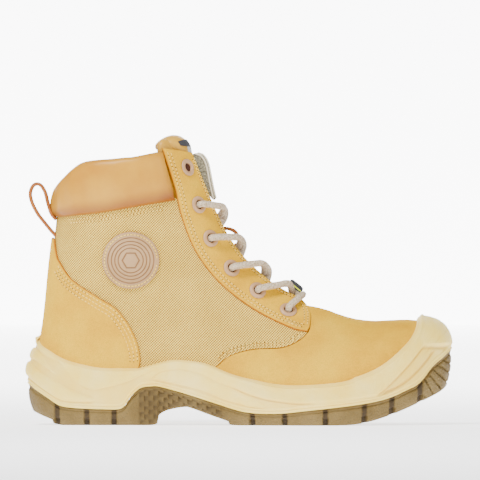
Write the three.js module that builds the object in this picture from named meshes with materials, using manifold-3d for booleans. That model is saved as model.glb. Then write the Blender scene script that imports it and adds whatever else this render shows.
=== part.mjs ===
// Right-foot lace-up safety boot with a steel toe cap, 305 mm over the sole.
// Millimetres, +X towards the toe, +Y towards the inner side of the foot, +Z up.
// The origin is on the ground, under the middle of the boot's bounding box.
import * as THREE from 'three';
import { mergeVertices } from 'three/addons/utils/BufferGeometryUtils.js';
import Module from 'manifold-3d';

const wasm = await Module();
wasm.setup();

// ---------------------------------------------------------------- driving dimensions
const GAP = 0.3;                 // clearance between neighbouring pieces
const SIDE_SHIFT = 2.5;          // moves the boot so that its bounding box is centred across
const LEATHER = 1.6;             // thickness of the vamp, canvas and heel stiffener layer
const OVERLAY = 1.8;             // thickness of the leather sewn over that layer
const LINING = 2.2;              // thickness of the padded lining
const CAP_STEEL = 1.7;           // wall of the steel toe cap
const RIM = 2.6;                 // how far the midsole rim stands out from the upper
const WALL_STEPS = 5;            // facets up the midsole wall
const COLLAR_PUFF = 4.4;         // how far the padded collar stands out
const EYELET_FLANGE = 6.2;       // outer radius of an eyelet
const EYELET_BARREL = 3.6;       // outer radius of its barrel
const EYELET_HOLE = 3.2;         // radius of the hole in it
const LACE_RADIUS = 2.2;
const AGLET_LENGTH = 22;
const TONGUE_OUT = -6;           // offset of the tongue's outer face from the upper's surface
const TONGUE_IN = -10.2;         // offset of its inner face
const TONGUE_HINGE = [-27.5, 163];    // where the free top of the tongue bends, x and z
const LUG_DEPTH = 4.6;
const LUG_REACH = 13;            // how far the lug gaps run in from the tread's edge

// Cross-sections of the upper from the shaft's top to the toe tip. Each one lies on a
// straight line from the front or top edge to the back or bottom edge of the side view:
// front x, front z, back x, back z, half width, middle y, widest place along the line
// (0 to 1), roundness of the front part, roundness of the back part (2 is an ellipse).
const STATIONS = [
  [-39, 210, -126, 205, 42, 0, 0.5, 1.9, 2.2],
  [-31, 189, -129.4, 172, 42.5, 0, 0.5, 1.9, 2.2],
  [-23.5, 171, -131, 150, 42, 0, 0.5, 1.9, 2.2],
  [-15.5, 152.8, -133.4, 127, 40.5, 0, 0.5, 1.9, 2.3],
  [-6, 135.2, -136.2, 103, 38, 0, 0.5, 1.9, 2.4],
  [6, 119.8, -138.7, 78, 36, 0, 0.5, 1.9, 2.6],
  [21.5, 105.6, -141.2, 52, 35, 0, 0.5, 1.9, 2.9],
  [36, 95.4, -137, 25.5, 35.5, -0.5, 0.52, 1.9, 3.4],
  [49.4, 87.8, -95, 22, 38, -1.5, 0.6, 1.95, 3.8],
  [64, 81, -45, 22, 42.5, -2.5, 0.68, 2, 4],
  [80, 75.9, 8, 18.5, 47.5, -2.5, 0.72, 2, 4],
  [95, 73.9, 50, 16.5, 50.5, -2, 0.72, 2.1, 4],
  [108, 74.4, 85, 18.5, 48.5, -1, 0.72, 2.2, 3.8],
  [119, 74.8, 110, 23, 43, 0, 0.7, 2.3, 3.4],
  [130, 73.4, 127, 29, 34.5, 1.5, 0.65, 2.3, 3],
  [139, 68.8, 138, 35, 24.5, 2.6, 0.6, 2.2, 2.6],
  [145, 60, 145, 42, 13, 3, 0.55, 2.1, 2.2],
  [147, 51, 147, 51, 0, 3, 0.5, 2, 2],
];

// Edge between rubber outsole and foam midsole in the side view.
const SOLE_EDGE = [[-152, 29.6], [-149, 28], [-144.9, 24.8], [-136.9, 19.3], [-129.8, 14.6],
  [-124, 12.8], [-111.9, 11.8], [-96.9, 11.3], [-86.9, 11.3], [-82.6, 13.2], [-78.8, 18.8],
  [-73.7, 24.3], [-69.8, 26.8], [-63.7, 27.6], [-56.9, 27.3], [-36.9, 21.8], [-17, 15.4],
  [3.7, 9.4], [25.9, 8.3], [47.7, 10.4], [75.9, 13.6], [95.9, 16.8], [108, 20.3],
  [118.7, 25.1], [127.3, 29.9], [136.2, 41.1], [143.7, 47.5], [151.5, 54.5]];

// Underside of the tread in the side view: flat under the heel and the ball.
const TREAD_LINE = [[-152, 13], [-146.9, 9.6], [-140.9, 6.8], [-133.3, 3.7], [-126, 0],
  [-64.8, 0], [-59.8, 4.6], [-55.9, 8.6], [-49.8, 11.2], [-39.3, 13], [-33.4, 11.8],
  [-20.5, 7.1], [-8.4, 2.9], [-1, 0], [62, 0], [86, 1.5], [107, 7.5], [127, 16],
  [141.6, 23.2], [147.5, 27.9], [150.5, 33]];

// Ribs of the midsole wall from the back of the heel to the toe tip: x, outer side y and
// inner side y at the rubber edge, then x and z where the rim meets the upper.
const RIBS = [
  [-150.6, 0, 0, -143.6, 62.5],
  [-148.4, -13, 13, -142, 60.3],
  [-141, -25, 24.5, -137, 54.2],
  [-127, -33, 32, -127, 47.9],
  [-108, -36.5, 35.5, -110, 42.4],
  [-90, -36.5, 35, -90, 40.1],
  [-82, -36.3, 34.4, -82, 39.9],
  [-76, -37.3, 35, -76, 39.8],
  [-70, -38.2, 35.6, -70.7, 39.9],
  [-58, -38.8, 35.4, -57, 43.8],
  [-40, -40.5, 35, -42, 45.6],
  [-17, -44, 36.5, -17, 40.3],
  [8, -49.5, 39.5, 5, 32.8],
  [34, -54.8, 46, 31, 28],
  [60, -57, 51, 56, 28.4],
  [84, -55, 51.5, 80.5, 32.8],
  [105, -47.5, 47, 100, 41.4],
  [124, -39.8, 41.6, 114, 52.6],
  [138, -28.5, 33, 122.3, 61.6],
  [146.8, -15.5, 21, 126, 69.5],
  [150.6, 3, 3, 127, 75.7],
];

// Lug gaps along the edge of the tread: first x, last x.
const LUG_GAPS = [[-132.3, -128.3], [-110.8, -107.3], [-91.3, -87.8], [6.7, 10.5], [30.2, 33],
  [58.7, 62.5], [86.6, 90.2], [106.6, 109.4], [127.2, 129.4]];

// Seams of the upper in the side view.
const CANVAS_BORDER = [[-17.7, 40.8], [-7, 49.6], [9.5, 54.2], [30, 55.4], [42.2, 60.7],
  [48.4, 66.5]];
const FACING_REAR = [[-56, 197.1], [-46.5, 167.4], [-41.9, 148.4], [-31.9, 123.7],
  [-14.6, 101], [10, 81.9], [35.4, 69.1], [48.2, 66]];
const FACING_FRONT = [[50, 72], [49.4, 79], [47, 84.5], [43, 88.8], [39, 92], [38, 100],
  [20, 150], [0, 175], [-20, 195], [-39.2, 197.1]];
const COLLAR_SEAM = [[-140, 147.2], [-129.1, 147.8], [-99.5, 150.4], [-74.9, 154.6],
  [-45.6, 159.6]];
const TOP_LINE = [[-140, 168], [-131.5, 170.1], [-122, 180], [-111, 188.5], [-87.2, 191],
  [-74.9, 192.6], [-56, 197.1], [-33.7, 197.1]];
const COUNTER_EDGE = [[-129.8, 131.5], [-129.1, 118], [-119.3, 103.7], [-100.6, 91],
  [-86.8, 81.9], [-75.7, 65.8], [-70.7, 48.8], [-72.5, 20]];
const INSIDE_FLOOR = [[-160, 25.5], [-125, 24.5], [-95, 22.4], [-45, 22.4], [8, 19], [50, 17.2],
  [85, 19.2], [110, 24], [127, 30], [138, 36.5], [150, 45]];
const EYELETS = [[-38.8, 182.8], [-30.8, 156.3], [-22.1, 132.4], [-6.9, 111], [11.8, 94.9],
  [34.1, 80.5]];
const TOP_USED_EYELET = 1;       // the lace ends in the second pair from the top

// ---------------------------------------------------------------- curves and surfaces
// Value at place k (0 to rows - 1) of a smooth curve through rows of numbers.
function through(rows, k) {
  const i = Math.min(Math.max(Math.floor(k), 0), rows.length - 2);
  const t = k - i;
  const a = rows[i];
  const b = rows[i + 1];
  const before = rows[i - 1] ?? a.map((n, j) => 2 * n - b[j]);
  const after = rows[i + 2] ?? b.map((n, j) => 2 * n - a[j]);
  return a.map((n, j) => {
    const slope = (b[j] - before[j]) / 2;
    const bend = before[j] - 2.5 * n + 2 * b[j] - after[j] / 2;
    const twist = (after[j] - before[j]) / 2 + 1.5 * (n - b[j]);
    return n + t * (slope + t * (bend + t * twist));
  });
}

// Points of a smooth curve through rows, with some steps between neighbours.
function curvePoints(rows, steps = 3) {
  const total = (rows.length - 1) * steps;
  return Array.from({ length: total + 1 }, (_, i) => through(rows, i / steps));
}

// Straight-line height at x of a profile given as [x, z] points.
function heightAt(profile, x) {
  const last = profile.length - 1;
  const found = profile.findIndex((point) => point[0] > x);
  const i = found < 0 ? last : Math.max(found, 1);
  const [x0, z0] = profile[i - 1];
  const [x1, z1] = profile[i];
  const t = Math.min(Math.max((x - x0) / (x1 - x0), 0), 1);
  return z0 + (z1 - z0) * t;
}

const LAST_STATION = STATIONS.length - 1;

// Point of the upper's surface: u runs from the shaft's top to the toe tip, v around the
// section, with 0 at the front or top, a quarter turn at the outer side of the foot.
function skinPoint(u, v) {
  const [fx, fz, bx, bz, half, middle, widest, front, back] = through(STATIONS, u);
  const across = Math.sin(v);
  const towards = Math.cos(v);
  const power = 2 / (towards > 0 ? front : back);
  const reach = Math.abs(towards) ** power;
  const s = towards > 0 ? widest * (1 - reach) : widest + (1 - widest) * reach;
  const y = middle - half * Math.sign(across) * Math.abs(across) ** power;
  return new THREE.Vector3(fx + (bx - fx) * s, y, fz + (bz - fz) * s);
}

// The same point moved out of the surface by some distance.
function skin(u, v, offset = 0) {
  const du = 0.04;
  const dv = 0.03;
  if (u > LAST_STATION - du) return skinPoint(LAST_STATION, 0).add(new THREE.Vector3(offset, 0, 0));
  const alongU = skinPoint(Math.min(u + du, LAST_STATION), v).sub(skinPoint(Math.max(u - du, 0), v));
  const alongV = skinPoint(u, v + dv).sub(skinPoint(u, v - dv));
  const normal = alongU.cross(alongV).normalize().negate();
  return skinPoint(u, v).addScaledVector(normal, offset);
}

// Place [u, v] on the outer side of the foot of a point given by x and z in the side view.
function locate(x, z) {
  let low = 0;
  let high = LAST_STATION - 0.01;
  const beyond = (u) => {
    const [fx, fz, bx, bz] = through(STATIONS, u);
    return (bx - fx) * (z - fz) - (bz - fz) * (x - fx) > 0;
  };
  for (let i = 0; i < 30; i += 1) {
    const u = (low + high) / 2;
    if (beyond(u)) low = u;
    else high = u;
  }
  const [fx, fz, bx, bz, , , widest, front, back] = through(STATIONS, low);
  const length = Math.hypot(bx - fx, bz - fz);
  const s = ((x - fx) * (bx - fx) + (z - fz) * (bz - fz)) / length / length;
  const clamped = Math.min(Math.max(s, 0), 1);
  if (clamped < widest) return [low, Math.acos((1 - clamped / widest) ** (front / 2))];
  return [low, Math.PI - Math.acos(((clamped - widest) / (1 - widest)) ** (back / 2))];
}

// ---------------------------------------------------------------- solids
// Closed solid from a three.js geometry, its shared vertices merged.
function solid(geometry) {
  const bare = geometry.clone();
  bare.deleteAttribute('normal');
  bare.deleteAttribute('uv');
  const merged = mergeVertices(bare, 1e-4);
  const corners = [];
  for (let i = 0; i < merged.index.count; i += 3) {
    const [a, b, c] = [0, 1, 2].map((n) => merged.index.getX(i + n));
    if (a !== b && b !== c && c !== a) corners.push(a, b, c);
  }
  return new wasm.Manifold(new wasm.Mesh({
    numProp: 3,
    vertProperties: new Float32Array(merged.attributes.position.array),
    triVerts: new Uint32Array(corners),
  }));
}

// Solid through closed rings with equal counts of points, its two ends fanned shut.
function loft(rings) {
  const points = rings.flat();
  const count = rings[0].length;
  const faces = [];
  for (let i = 0; i < rings.length - 1; i += 1) {
    for (let j = 0; j < count; j += 1) {
      const a = i * count + j;
      const b = i * count + ((j + 1) % count);
      faces.push(a, b, b + count, a, b + count, a + count);
    }
  }
  const middle = (ring) => ring.reduce((sum, p) => sum.add(p), new THREE.Vector3())
    .divideScalar(count);
  points.push(middle(rings[0]), middle(rings.at(-1)));
  const start = (rings.length - 1) * count;
  for (let j = 0; j < count; j += 1) {
    const next = (j + 1) % count;
    faces.push(points.length - 2, next, j, points.length - 1, start + j, start + next);
  }
  const geometry = new THREE.BufferGeometry().setFromPoints(points);
  geometry.setIndex(faces);
  return solid(geometry);
}

const AROUND = 20;
const U_STEPS = [...Array(19).keys()].map((i) => i * 0.75).concat([14.3, 15.1, 15.9, 16.5, 17]);
const bodies = new Map();

// Whole body inside the upper's surface moved out by an offset.
function body(offset) {
  if (!bodies.has(offset)) {
    const rings = U_STEPS.map((u) => Array.from({ length: AROUND },
      (_, j) => skin(u, (2 * Math.PI * j) / AROUND, offset)));
    bodies.set(offset, loft(rings));
  }
  return bodies.get(offset);
}

// Layer of the upper between two offsets.
function layer(outside, inside) {
  return body(outside).subtract(body(inside));
}

// Side-view outline pushed across the boot between two y values.
function across(outline, from = -80, to = 80) {
  const shape = new THREE.Shape(outline.map(([x, z]) => new THREE.Vector2(x, z)));
  const geometry = new THREE.ExtrudeGeometry(shape, { depth: to - from, bevelEnabled: false });
  geometry.rotateX(Math.PI / 2).translate(0, to, 0);
  return solid(geometry);
}

// Everything from one height above the inside floor to another.
function floorBand(low, high) {
  const upper = INSIDE_FLOOR.map(([x, z]) => [x, z + high]);
  const lower = INSIDE_FLOOR.map(([x, z]) => [x, z + low]).reverse();
  return across([...upper, ...lower]);
}

const aboveBoard = across([[-170, 240], [170, 240], [170, 60],
  ...INSIDE_FLOOR.map(([x, z]) => [x, z + 4.2]).reverse()]);

function box(x0, x1, y0, y1, z0, z1) {
  const geometry = new THREE.BoxGeometry(x1 - x0, y1 - y0, z1 - z0);
  return solid(geometry.translate((x0 + x1) / 2, (y0 + y1) / 2, (z0 + z1) / 2));
}

// ---------------------------------------------------------------- colours
const NUBUCK = [0xe0b266, 0.85, 0];
const CANVAS = [0xe8cf9c, 0.9, 0];
const SATIN = [0xd9b487, 0.5, 0];
const FOAM = [0xf7dfb2, 0.6, 0];
const RUBBER = [0xa58f6e, 0.8, 0];
const STEEL = [0x9a9da0, 0.4, 0.9];
const FELT = [0xb9b2a4, 0.95, 0];
const STRAP = [0xb98a55, 0.7, 0];
const ENAMEL = [0xe0ccbe, 0.4, 0.3];
const BRAID = [0xd8c8b6, 0.8, 0];
const MESH_CLOTH = [0x96907c, 0.9, 0];
const DARK = [0x33342f, 0.7, 0];

const boot = new THREE.Group();
boot.position.set(0, SIDE_SHIFT, 0);

// Adds a mesh with a name and a finish to the boot.
function add(name, geometry, [color, roughness, metalness]) {
  const material = new THREE.MeshStandardMaterial({ color, roughness, metalness });
  const mesh = new THREE.Mesh(geometry, material);
  mesh.name = name;
  boot.add(mesh);
  return mesh;
}

// Adds a solid made with booleans.
function addSolid(name, made, finish) {
  const { vertProperties, triVerts, numProp } = made.getMesh();
  if (numProp !== 3) throw new Error(`${name} has extra vertex properties`);
  const geometry = new THREE.BufferGeometry();
  geometry.setAttribute('position', new THREE.BufferAttribute(vertProperties, 3));
  geometry.setIndex(new THREE.BufferAttribute(triVerts, 1));
  geometry.computeVertexNormals();
  return add(name, geometry, finish);
}

// ---------------------------------------------------------------- sole unit
const vector = (x, y, z) => new THREE.Vector3(x, y, z);

// Curve of the midsole wall at a rib, bottom to top, on the outer (1) or inner (-1) side.
function wallCurve([xSole, yOuter, yInner, xRim, zRim], side) {
  const bottom = vector(xSole, side > 0 ? yOuter : yInner, heightAt(SOLE_EDGE, xSole));
  let [u, v] = locate(xRim, zRim);
  if (yOuter === yInner) v = xRim > 0 ? 0 : Math.PI;
  const top = skin(u, side * v, RIM);
  const outward = skin(u, side * v, RIM + 1).sub(top);
  const away = bottom.clone().sub(top);
  const length = away.length();
  away.addScaledVector(outward, -away.dot(outward)).normalize();
  const lower = bottom.clone().add(vector(0, 0, 0.42 * length)).addScaledVector(outward, 3.2);
  const upper = top.clone().addScaledVector(away, 0.42 * length).addScaledVector(outward, 2);
  return new THREE.CubicBezierCurve3(bottom, lower, upper, top).getPoints(WALL_STEPS);
}

const wallRings = RIBS.map((rib) => [...wallCurve(rib, -1), ...wallCurve(rib, 1).reverse()]);
const heelRoom = body(OVERLAY + 0.6).intersect(box(-170, -66, -80, 80, 20, 90));
// Foam filling under the arch, in a recess of the rubber.
const shank = (grow) => box(-82 - grow, -22 + grow, -25 - grow, 21 + grow, 15 - grow, 40);
const midsole = loft(wallRings).add(shank(0)).subtract(body(GAP)).subtract(heelRoom);
addSolid('midsole', midsole, FOAM);

// y of the rubber's outer and inner edge at x.
function edgesAt(x) {
  const next = RIBS.findIndex((rib) => rib[0] > x);
  const [before, after] = [RIBS[next - 1], RIBS[next]];
  const t = (x - before[0]) / (after[0] - before[0]);
  return [1, 2].map((j) => before[j] + (after[j] - before[j]) * t);
}

// Ring of the outsole at a rib: down the outer wall, across and up the inner wall. The wall
// stands out a little at half height and leans in towards the ground.
const TREAD_BULGE = 1.3;
const TREAD_INSET = 3.2;
const HALF_SOLE = 152;

function treadRing([x, yOuter, yInner]) {
  const middle = (yInner + yOuter) / 2;
  const half = (yInner - yOuter) / 2;
  const end = half === 0 ? Math.sign(x) : 0;
  const xLow = x * (1 - TREAD_INSET / HALF_SOLE);
  const zTop = heightAt(SOLE_EDGE, x) - GAP;
  const zLow = heightAt(TREAD_LINE, xLow);
  const bulge = half > 0 ? half + TREAD_BULGE * 0.6 : 0;
  const foot = half * (1 - TREAD_INSET / 50);
  return [
    vector(x, middle - half, zTop),
    vector(x + end * TREAD_BULGE, middle - bulge, (zTop + zLow) / 2),
    vector(xLow, middle - foot, zLow),
    vector(xLow, middle + foot, zLow),
    vector(x + end * TREAD_BULGE, middle + bulge, (zTop + zLow) / 2),
    vector(x, middle + half, zTop),
  ];
}

// Extra tread rings where the underside turns, between the ribs.
const TREAD_TURNS = [-129, -66, -62, -56, -50, -30, -2.5, 64];
const treadRows = RIBS.map((rib) => rib.slice(0, 3));
for (const x of TREAD_TURNS) {
  const next = treadRows.findIndex((row) => row[0] > x);
  const [before, after] = [treadRows[next - 1], treadRows[next]];
  const t = (x - before[0]) / (after[0] - before[0]);
  treadRows.splice(next, 0, before.map((n, j) => n + (after[j] - n) * t));
}
let outsole = loft(treadRows.map(treadRing)).subtract(shank(GAP)).subtract(body(RIM));
for (const [x0, x1] of LUG_GAPS) {
  const low = heightAt(TREAD_LINE, (x0 + x1) / 2) - 2;
  const [outer, inner] = edgesAt((x0 + x1) / 2);
  for (const [y0, y1] of [[-90, outer + LUG_REACH], [inner - LUG_REACH, 90]]) {
    outsole = outsole.subtract(box(x0, x1, y0, y1, low - 8, low + 2 + LUG_DEPTH));
  }
}
// Cross grooves under the heel and the ball, short of the edge.
for (const x of [-100, -78, 18, 42, 74]) {
  outsole = outsole.subtract(box(x, x + 4, -26, 24, -1, 3.6));
}
addSolid('outsole', outsole, RUBBER);

const innerFloor = (offset, low, high) => body(offset).intersect(floorBand(low, high));
addSolid('penetration_plate', innerFloor(-1.4, 0.3, 1.5), STEEL);
addSolid('insole_board', innerFloor(-1, 1.8, 3.8), FELT);
addSolid('footbed', innerFloor(-6.6, 4.3, 9.2).subtract(box(132, 170, -80, 80, 0, 90)), FELT);

// ---------------------------------------------------------------- toe protection
const capLayer = layer(-LEATHER - GAP, -LEATHER - GAP - CAP_STEEL).intersect(aboveBoard);
const capBack = 90;
addSolid('steel_toe_cap', capLayer.intersect(box(capBack, 170, -80, 80, 0, 120)), STEEL);
addSolid('toe_cap_edge_strip',
  capLayer.intersect(box(capBack - 7, capBack - GAP, -80, 80, 0, 120)), DARK);

// ---------------------------------------------------------------- upper
// A side-view region closed by far corners, from parts of the seams.
const region = (...parts) => across(parts.flat());
const smooth = (rows) => curvePoints(rows, 2);
const moved = (rows, dx, dz = 0) => rows.map(([x, z]) => [x + dx, z + dz]);
const leatherLayer = layer(0, -LEATHER).intersect(aboveBoard);
const throat = (half) => box(-70, 56, -half, half, 60, 230);

// Vamp: everything in front of the canvas border, closed over the instep.
const vampRegion = region([[-19.5, 15]], smooth(CANVAS_BORDER),
  [[49, 69], [46, 80], [43.5, 87], [42, 110], [170, 110], [170, 15]]);
addSolid('vamp', leatherLayer.intersect(vampRegion), NUBUCK);
const vampInside = -LEATHER - CAP_STEEL - 2 * GAP;
const vampLining = layer(vampInside, vampInside - 1.3).intersect(aboveBoard);
addSolid('vamp_lining',
  vampLining.intersect(box(66, 170, -80, 80, 0, 120)), FELT);

// Stiffener round the heel, its front edge set back from the counter's.
const STIFFENER_BACK = 9;
const STIFFENER_TOP = 112;
const stiffenerEdge = smooth(moved(COUNTER_EDGE, -STIFFENER_BACK));
addSolid('heel_stiffener', leatherLayer.intersect(region([[-170, 15], [-170, STIFFENER_TOP]],
  stiffenerEdge.filter((point) => point[1] < STIFFENER_TOP))), FELT);

// Canvas quarters, one on each side, meeting in a seam up the back.
const canvasBack = smooth(moved(COUNTER_EDGE, GAP + 0.1 - STIFFENER_BACK));
const canvasRegion = region([[-20, 15]], canvasBack.filter((p) => p[1] < STIFFENER_TOP).reverse(),
  [[-130, STIFFENER_TOP + 0.4], [-170, STIFFENER_TOP + 0.4], [-170, 150], [-60, 196]],
  moved(EYELETS, -7.5, 0), [[41, 74], [47, 67]],
  smooth(moved(CANVAS_BORDER, -GAP, GAP)).reverse());
const canvas = leatherLayer.intersect(canvasRegion).subtract(throat(17));
const halves = { lateral: box(-200, 200, -90, -GAP / 2, -5, 240),
  medial: box(-200, 200, GAP / 2, 90, -5, 240) };
for (const [side, half] of Object.entries(halves)) {
  addSolid(`quarter_canvas_${side}`, canvas.intersect(half), CANVAS);
}

// Leather counter sewn over the canvas and the stiffener.
const overlay = layer(GAP + OVERLAY, GAP).intersect(aboveBoard);
addSolid('heel_counter_cover',
  overlay.intersect(region([[-170, 15], [-170, 132.5]], smooth(COUNTER_EDGE))), NUBUCK);

// Facings with a hole for every eyelet.
const facingRegion = region(smooth(FACING_REAR), FACING_FRONT);
const GAP_HALF_TOP = 13;
const GAP_HALF_BOTTOM = 8;
const gapWedge = () => {
  const shape = new THREE.Shape([vector(56, -GAP_HALF_BOTTOM), vector(56, GAP_HALF_BOTTOM),
    vector(-45, GAP_HALF_TOP), vector(-45, -GAP_HALF_TOP)].map((p) => new THREE.Vector2(p.x, p.y)));
  const geometry = new THREE.ExtrudeGeometry(shape, { depth: 200, bevelEnabled: false });
  return solid(geometry.translate(0, 0, 50));
};
const eyeletPlaces = EYELETS.map(([x, z]) => locate(x, z));

// Turns a geometry drawn along +Z at the origin onto an eyelet's place.
function ontoEyelet(geometry, [u, v], side) {
  const seat = skin(u, side * v, 0);
  const outward = skin(u, side * v, 1).sub(seat);
  const turn = new THREE.Quaternion().setFromUnitVectors(vector(0, 0, 1), outward);
  return geometry.applyQuaternion(turn).translate(seat.x, seat.y, seat.z);
}

const drill = (place, side) => {
  const bit = new THREE.CylinderGeometry(EYELET_BARREL + GAP, EYELET_BARREL + GAP, 12, 9);
  return solid(ontoEyelet(bit.rotateX(Math.PI / 2), place, side));
};
for (const [side, half] of Object.entries(halves)) {
  const sign = side === 'lateral' ? 1 : -1;
  let facing = overlay.intersect(facingRegion).intersect(half).subtract(gapWedge());
  for (const place of eyeletPlaces) facing = facing.subtract(drill(place, sign));
  addSolid(`facing_${side}`, facing, NUBUCK);
}

// Padded collar behind the facings, above the canvas.
const collarRegion = region(smooth(COLLAR_SEAM), moved(FACING_REAR, -0.6).slice(0, 2).reverse(),
  smooth(TOP_LINE.slice(0, -2)).reverse());
const collarBlock = layer(COLLAR_PUFF, -LEATHER);
addSolid('collar', collarBlock.intersect(collarRegion)
  .subtract(canvasRegion.intersect(body(GAP))), SATIN);

// Lining of the shaft and the heel, open at the throat.
const liningOut = -LEATHER - GAP;
const liningRegion = region([[64, 15], [-170, 15], [-170, 166]], smooth(TOP_LINE.slice(1, -1)),
  [[-46, 193]], moved(EYELETS, -9, 0).slice(1), [[44, 70], [60, 66]]);
addSolid('quarter_lining', layer(liningOut, liningOut - LINING).intersect(aboveBoard)
  .intersect(liningRegion).subtract(throat(19)), SATIN);

// ---------------------------------------------------------------- tongue
const tongueLayer = layer(TONGUE_OUT, TONGUE_IN);
const [, hingeZ] = TONGUE_HINGE;
const TOP_HALF = 11.5;           // half width of the free top inside the gap
const slot = box(-80, 20, -TOP_HALF - 1.8, TOP_HALF + 1.8, hingeZ - 1.5, 230);
const throatStrip = box(-60, 90, -19, 19, 60, 138).add(box(-60, 90, -15.5, 15.5, 136, 168))
  .intersect(region([[54, 60], [54, 110], [-10, 170], [-60, 170], [-60, 140], [20, 80]]));
const wingPair = box(-60, 0, -30, 30, 167, 190);
addSolid('tongue_base',
  tongueLayer.intersect(throatStrip.add(wingPair)).subtract(slot), SATIN);

// Free top of the tongue, with a padded lip over the top edges of the facings.
const LIP_CLEARANCE = 199.6;
const lipProfile = [[-36, 190], [-36.5, 199], [-41, 205.4], [-48, 206.6], [-54, 204.6],
  [-56.5, 200], [-51, 192], [-44, 187]];
const lip = across(curvePoints(lipProfile, 2), -21, 21)
  .subtract(box(-70, 0, TOP_HALF, 40, 150, LIP_CLEARANCE))
  .subtract(box(-70, 0, -40, -TOP_HALF, 150, LIP_CLEARANCE));
const stem = tongueLayer.intersect(box(-60, 0, -TOP_HALF, TOP_HALF, hingeZ + 1, 197));
addSolid('tongue_top', stem.add(lip), SATIN);

// Folded gussets that show in front of the facings' top halves.
const gussetProfile = [[-34.6, 191.6], [-30.5, 193.8], [-26.3, 192.2], [-23.1, 187.4],
  [-21.4, 180.4], [-19.6, 171], [-17.4, 161.4], [-20.6, 161.8], [-25.6, 171.5], [-31.6, 184]];
for (const [side, y] of [['lateral', -10.4], ['medial', 8.2]]) {
  addSolid(`tongue_gusset_${side}`, across(gussetProfile, y, y + 2.2), MESH_CLOTH);
}
const label = across([[-34.6, 196.5], [-35.6, 201.2], [-36.8, 201.4], [-35.8, 196.5]], -9, 9);
addSolid('tongue_label', label, DARK);

// Leather loop on the tongue between two lace crossings.
const keeperProfile = [[-15.5, 140.6], [-8, 140.6], [-3.6, 138.6], [-2.6, 136.2], [-5.6, 134.4],
  [-6.6, 135.6], [-4.2, 136.2], [-5.4, 137.6], [-8.6, 138.9], [-14.8, 139]];
addSolid('lace_keeper', across(keeperProfile, -3, 3), STRAP);

// ---------------------------------------------------------------- eyelets
const FLANGE_LIFT = GAP + OVERLAY + GAP;
const BARREL_END = -0.2;
const EYELET_FACETS = 9;
const eyeletProfile = [[EYELET_HOLE, BARREL_END], [EYELET_BARREL, BARREL_END],
  [EYELET_BARREL, FLANGE_LIFT], [EYELET_FLANGE - 0.5, FLANGE_LIFT], [EYELET_FLANGE, FLANGE_LIFT + 0.4],
  [EYELET_FLANGE - 1.4, FLANGE_LIFT + 0.8], [EYELET_HOLE, FLANGE_LIFT + 0.3],
  [EYELET_HOLE, BARREL_END]].map(([r, h]) => new THREE.Vector2(r, h));
for (const side of [1, -1]) {
  eyeletPlaces.forEach((place, i) => {
    const ring = new THREE.LatheGeometry(eyeletProfile, EYELET_FACETS).rotateX(Math.PI / 2);
    const name = `eyelet_${side > 0 ? 'lateral' : 'medial'}_${i + 1}`;
    addSolid(name, solid(ontoEyelet(ring, place, side)), ENAMEL);
  });
}

// ---------------------------------------------------------------- lace
// Points along the lace are [u, v, height over the upper, side]; each crossing rises out of
// the gap under one facing edge and comes down into the next eyelet up on the other side.
const UNDER = -3.1;
const OVER = 5.6;
const EYELET_RISE = 5.6;
const holePoint = (i, side, height) => {
  const [u, v] = eyeletPlaces[i];
  return skin(u, side * v, height);
};
const between = (i, side, share, back, height) => {
  const [u, v] = eyeletPlaces[i];
  return skin(u - back, side * v * share, height);
};
function crossing(from, side) {
  const [u0, v0] = eyeletPlaces[from];
  const [u1, v1] = eyeletPlaces[from - 1];
  const mix = (t, share, height, sign) => skin(u0 + (u1 - u0) * t,
    sign * (v0 + (v1 - v0) * t) * share, height);
  const level = side > 0 ? 1.6 : -3;
  return [
    mix(0.14, 0.72, UNDER, side), mix(0.3, 0.38, UNDER + 0.3, side), mix(0.5, 0, level, 1),
    mix(0.72, 0.36, OVER + 0.8, -side), mix(0.86, 0.66, OVER + 1, -side),
  ];
}
const passHole = (i, side) => [EYELET_RISE, 3, 0.4, -2.4].map((h) => holePoint(i, side, h));

// One half of the lace, from the middle of the bottom bar up to its last eyelet.
function laceHalf(startSide) {
  const lowest = EYELETS.length - 1;
  let side = startSide;
  const points = [between(lowest, side, 0.3, 0.38, 3.4),
    between(lowest, side, 0.66, 0.2, OVER),
    ...passHole(lowest, side)];
  for (let i = lowest; i > TOP_USED_EYELET; i -= 1) {
    points.push(...crossing(i, side));
    side = -side;
    points.push(...passHole(i - 1, side));
  }
  return points;
}
const lacePath = new THREE.CatmullRomCurve3(
  [...laceHalf(1).reverse(), ...laceHalf(-1)], false, 'centripetal');
const round = (radius, sides) => new THREE.Shape(Array.from({ length: sides }, (_, i) => {
  const turn = (2 * Math.PI * i) / sides;
  return new THREE.Vector2(radius * Math.cos(turn), radius * Math.sin(turn));
}));
const tube = (path, radius, steps, sides = 8) => new THREE.ExtrudeGeometry(round(radius, sides),
  { steps, extrudePath: path, bevelEnabled: false });
addSolid('lace', solid(tube(lacePath, LACE_RADIUS, 96)), BRAID);

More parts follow.
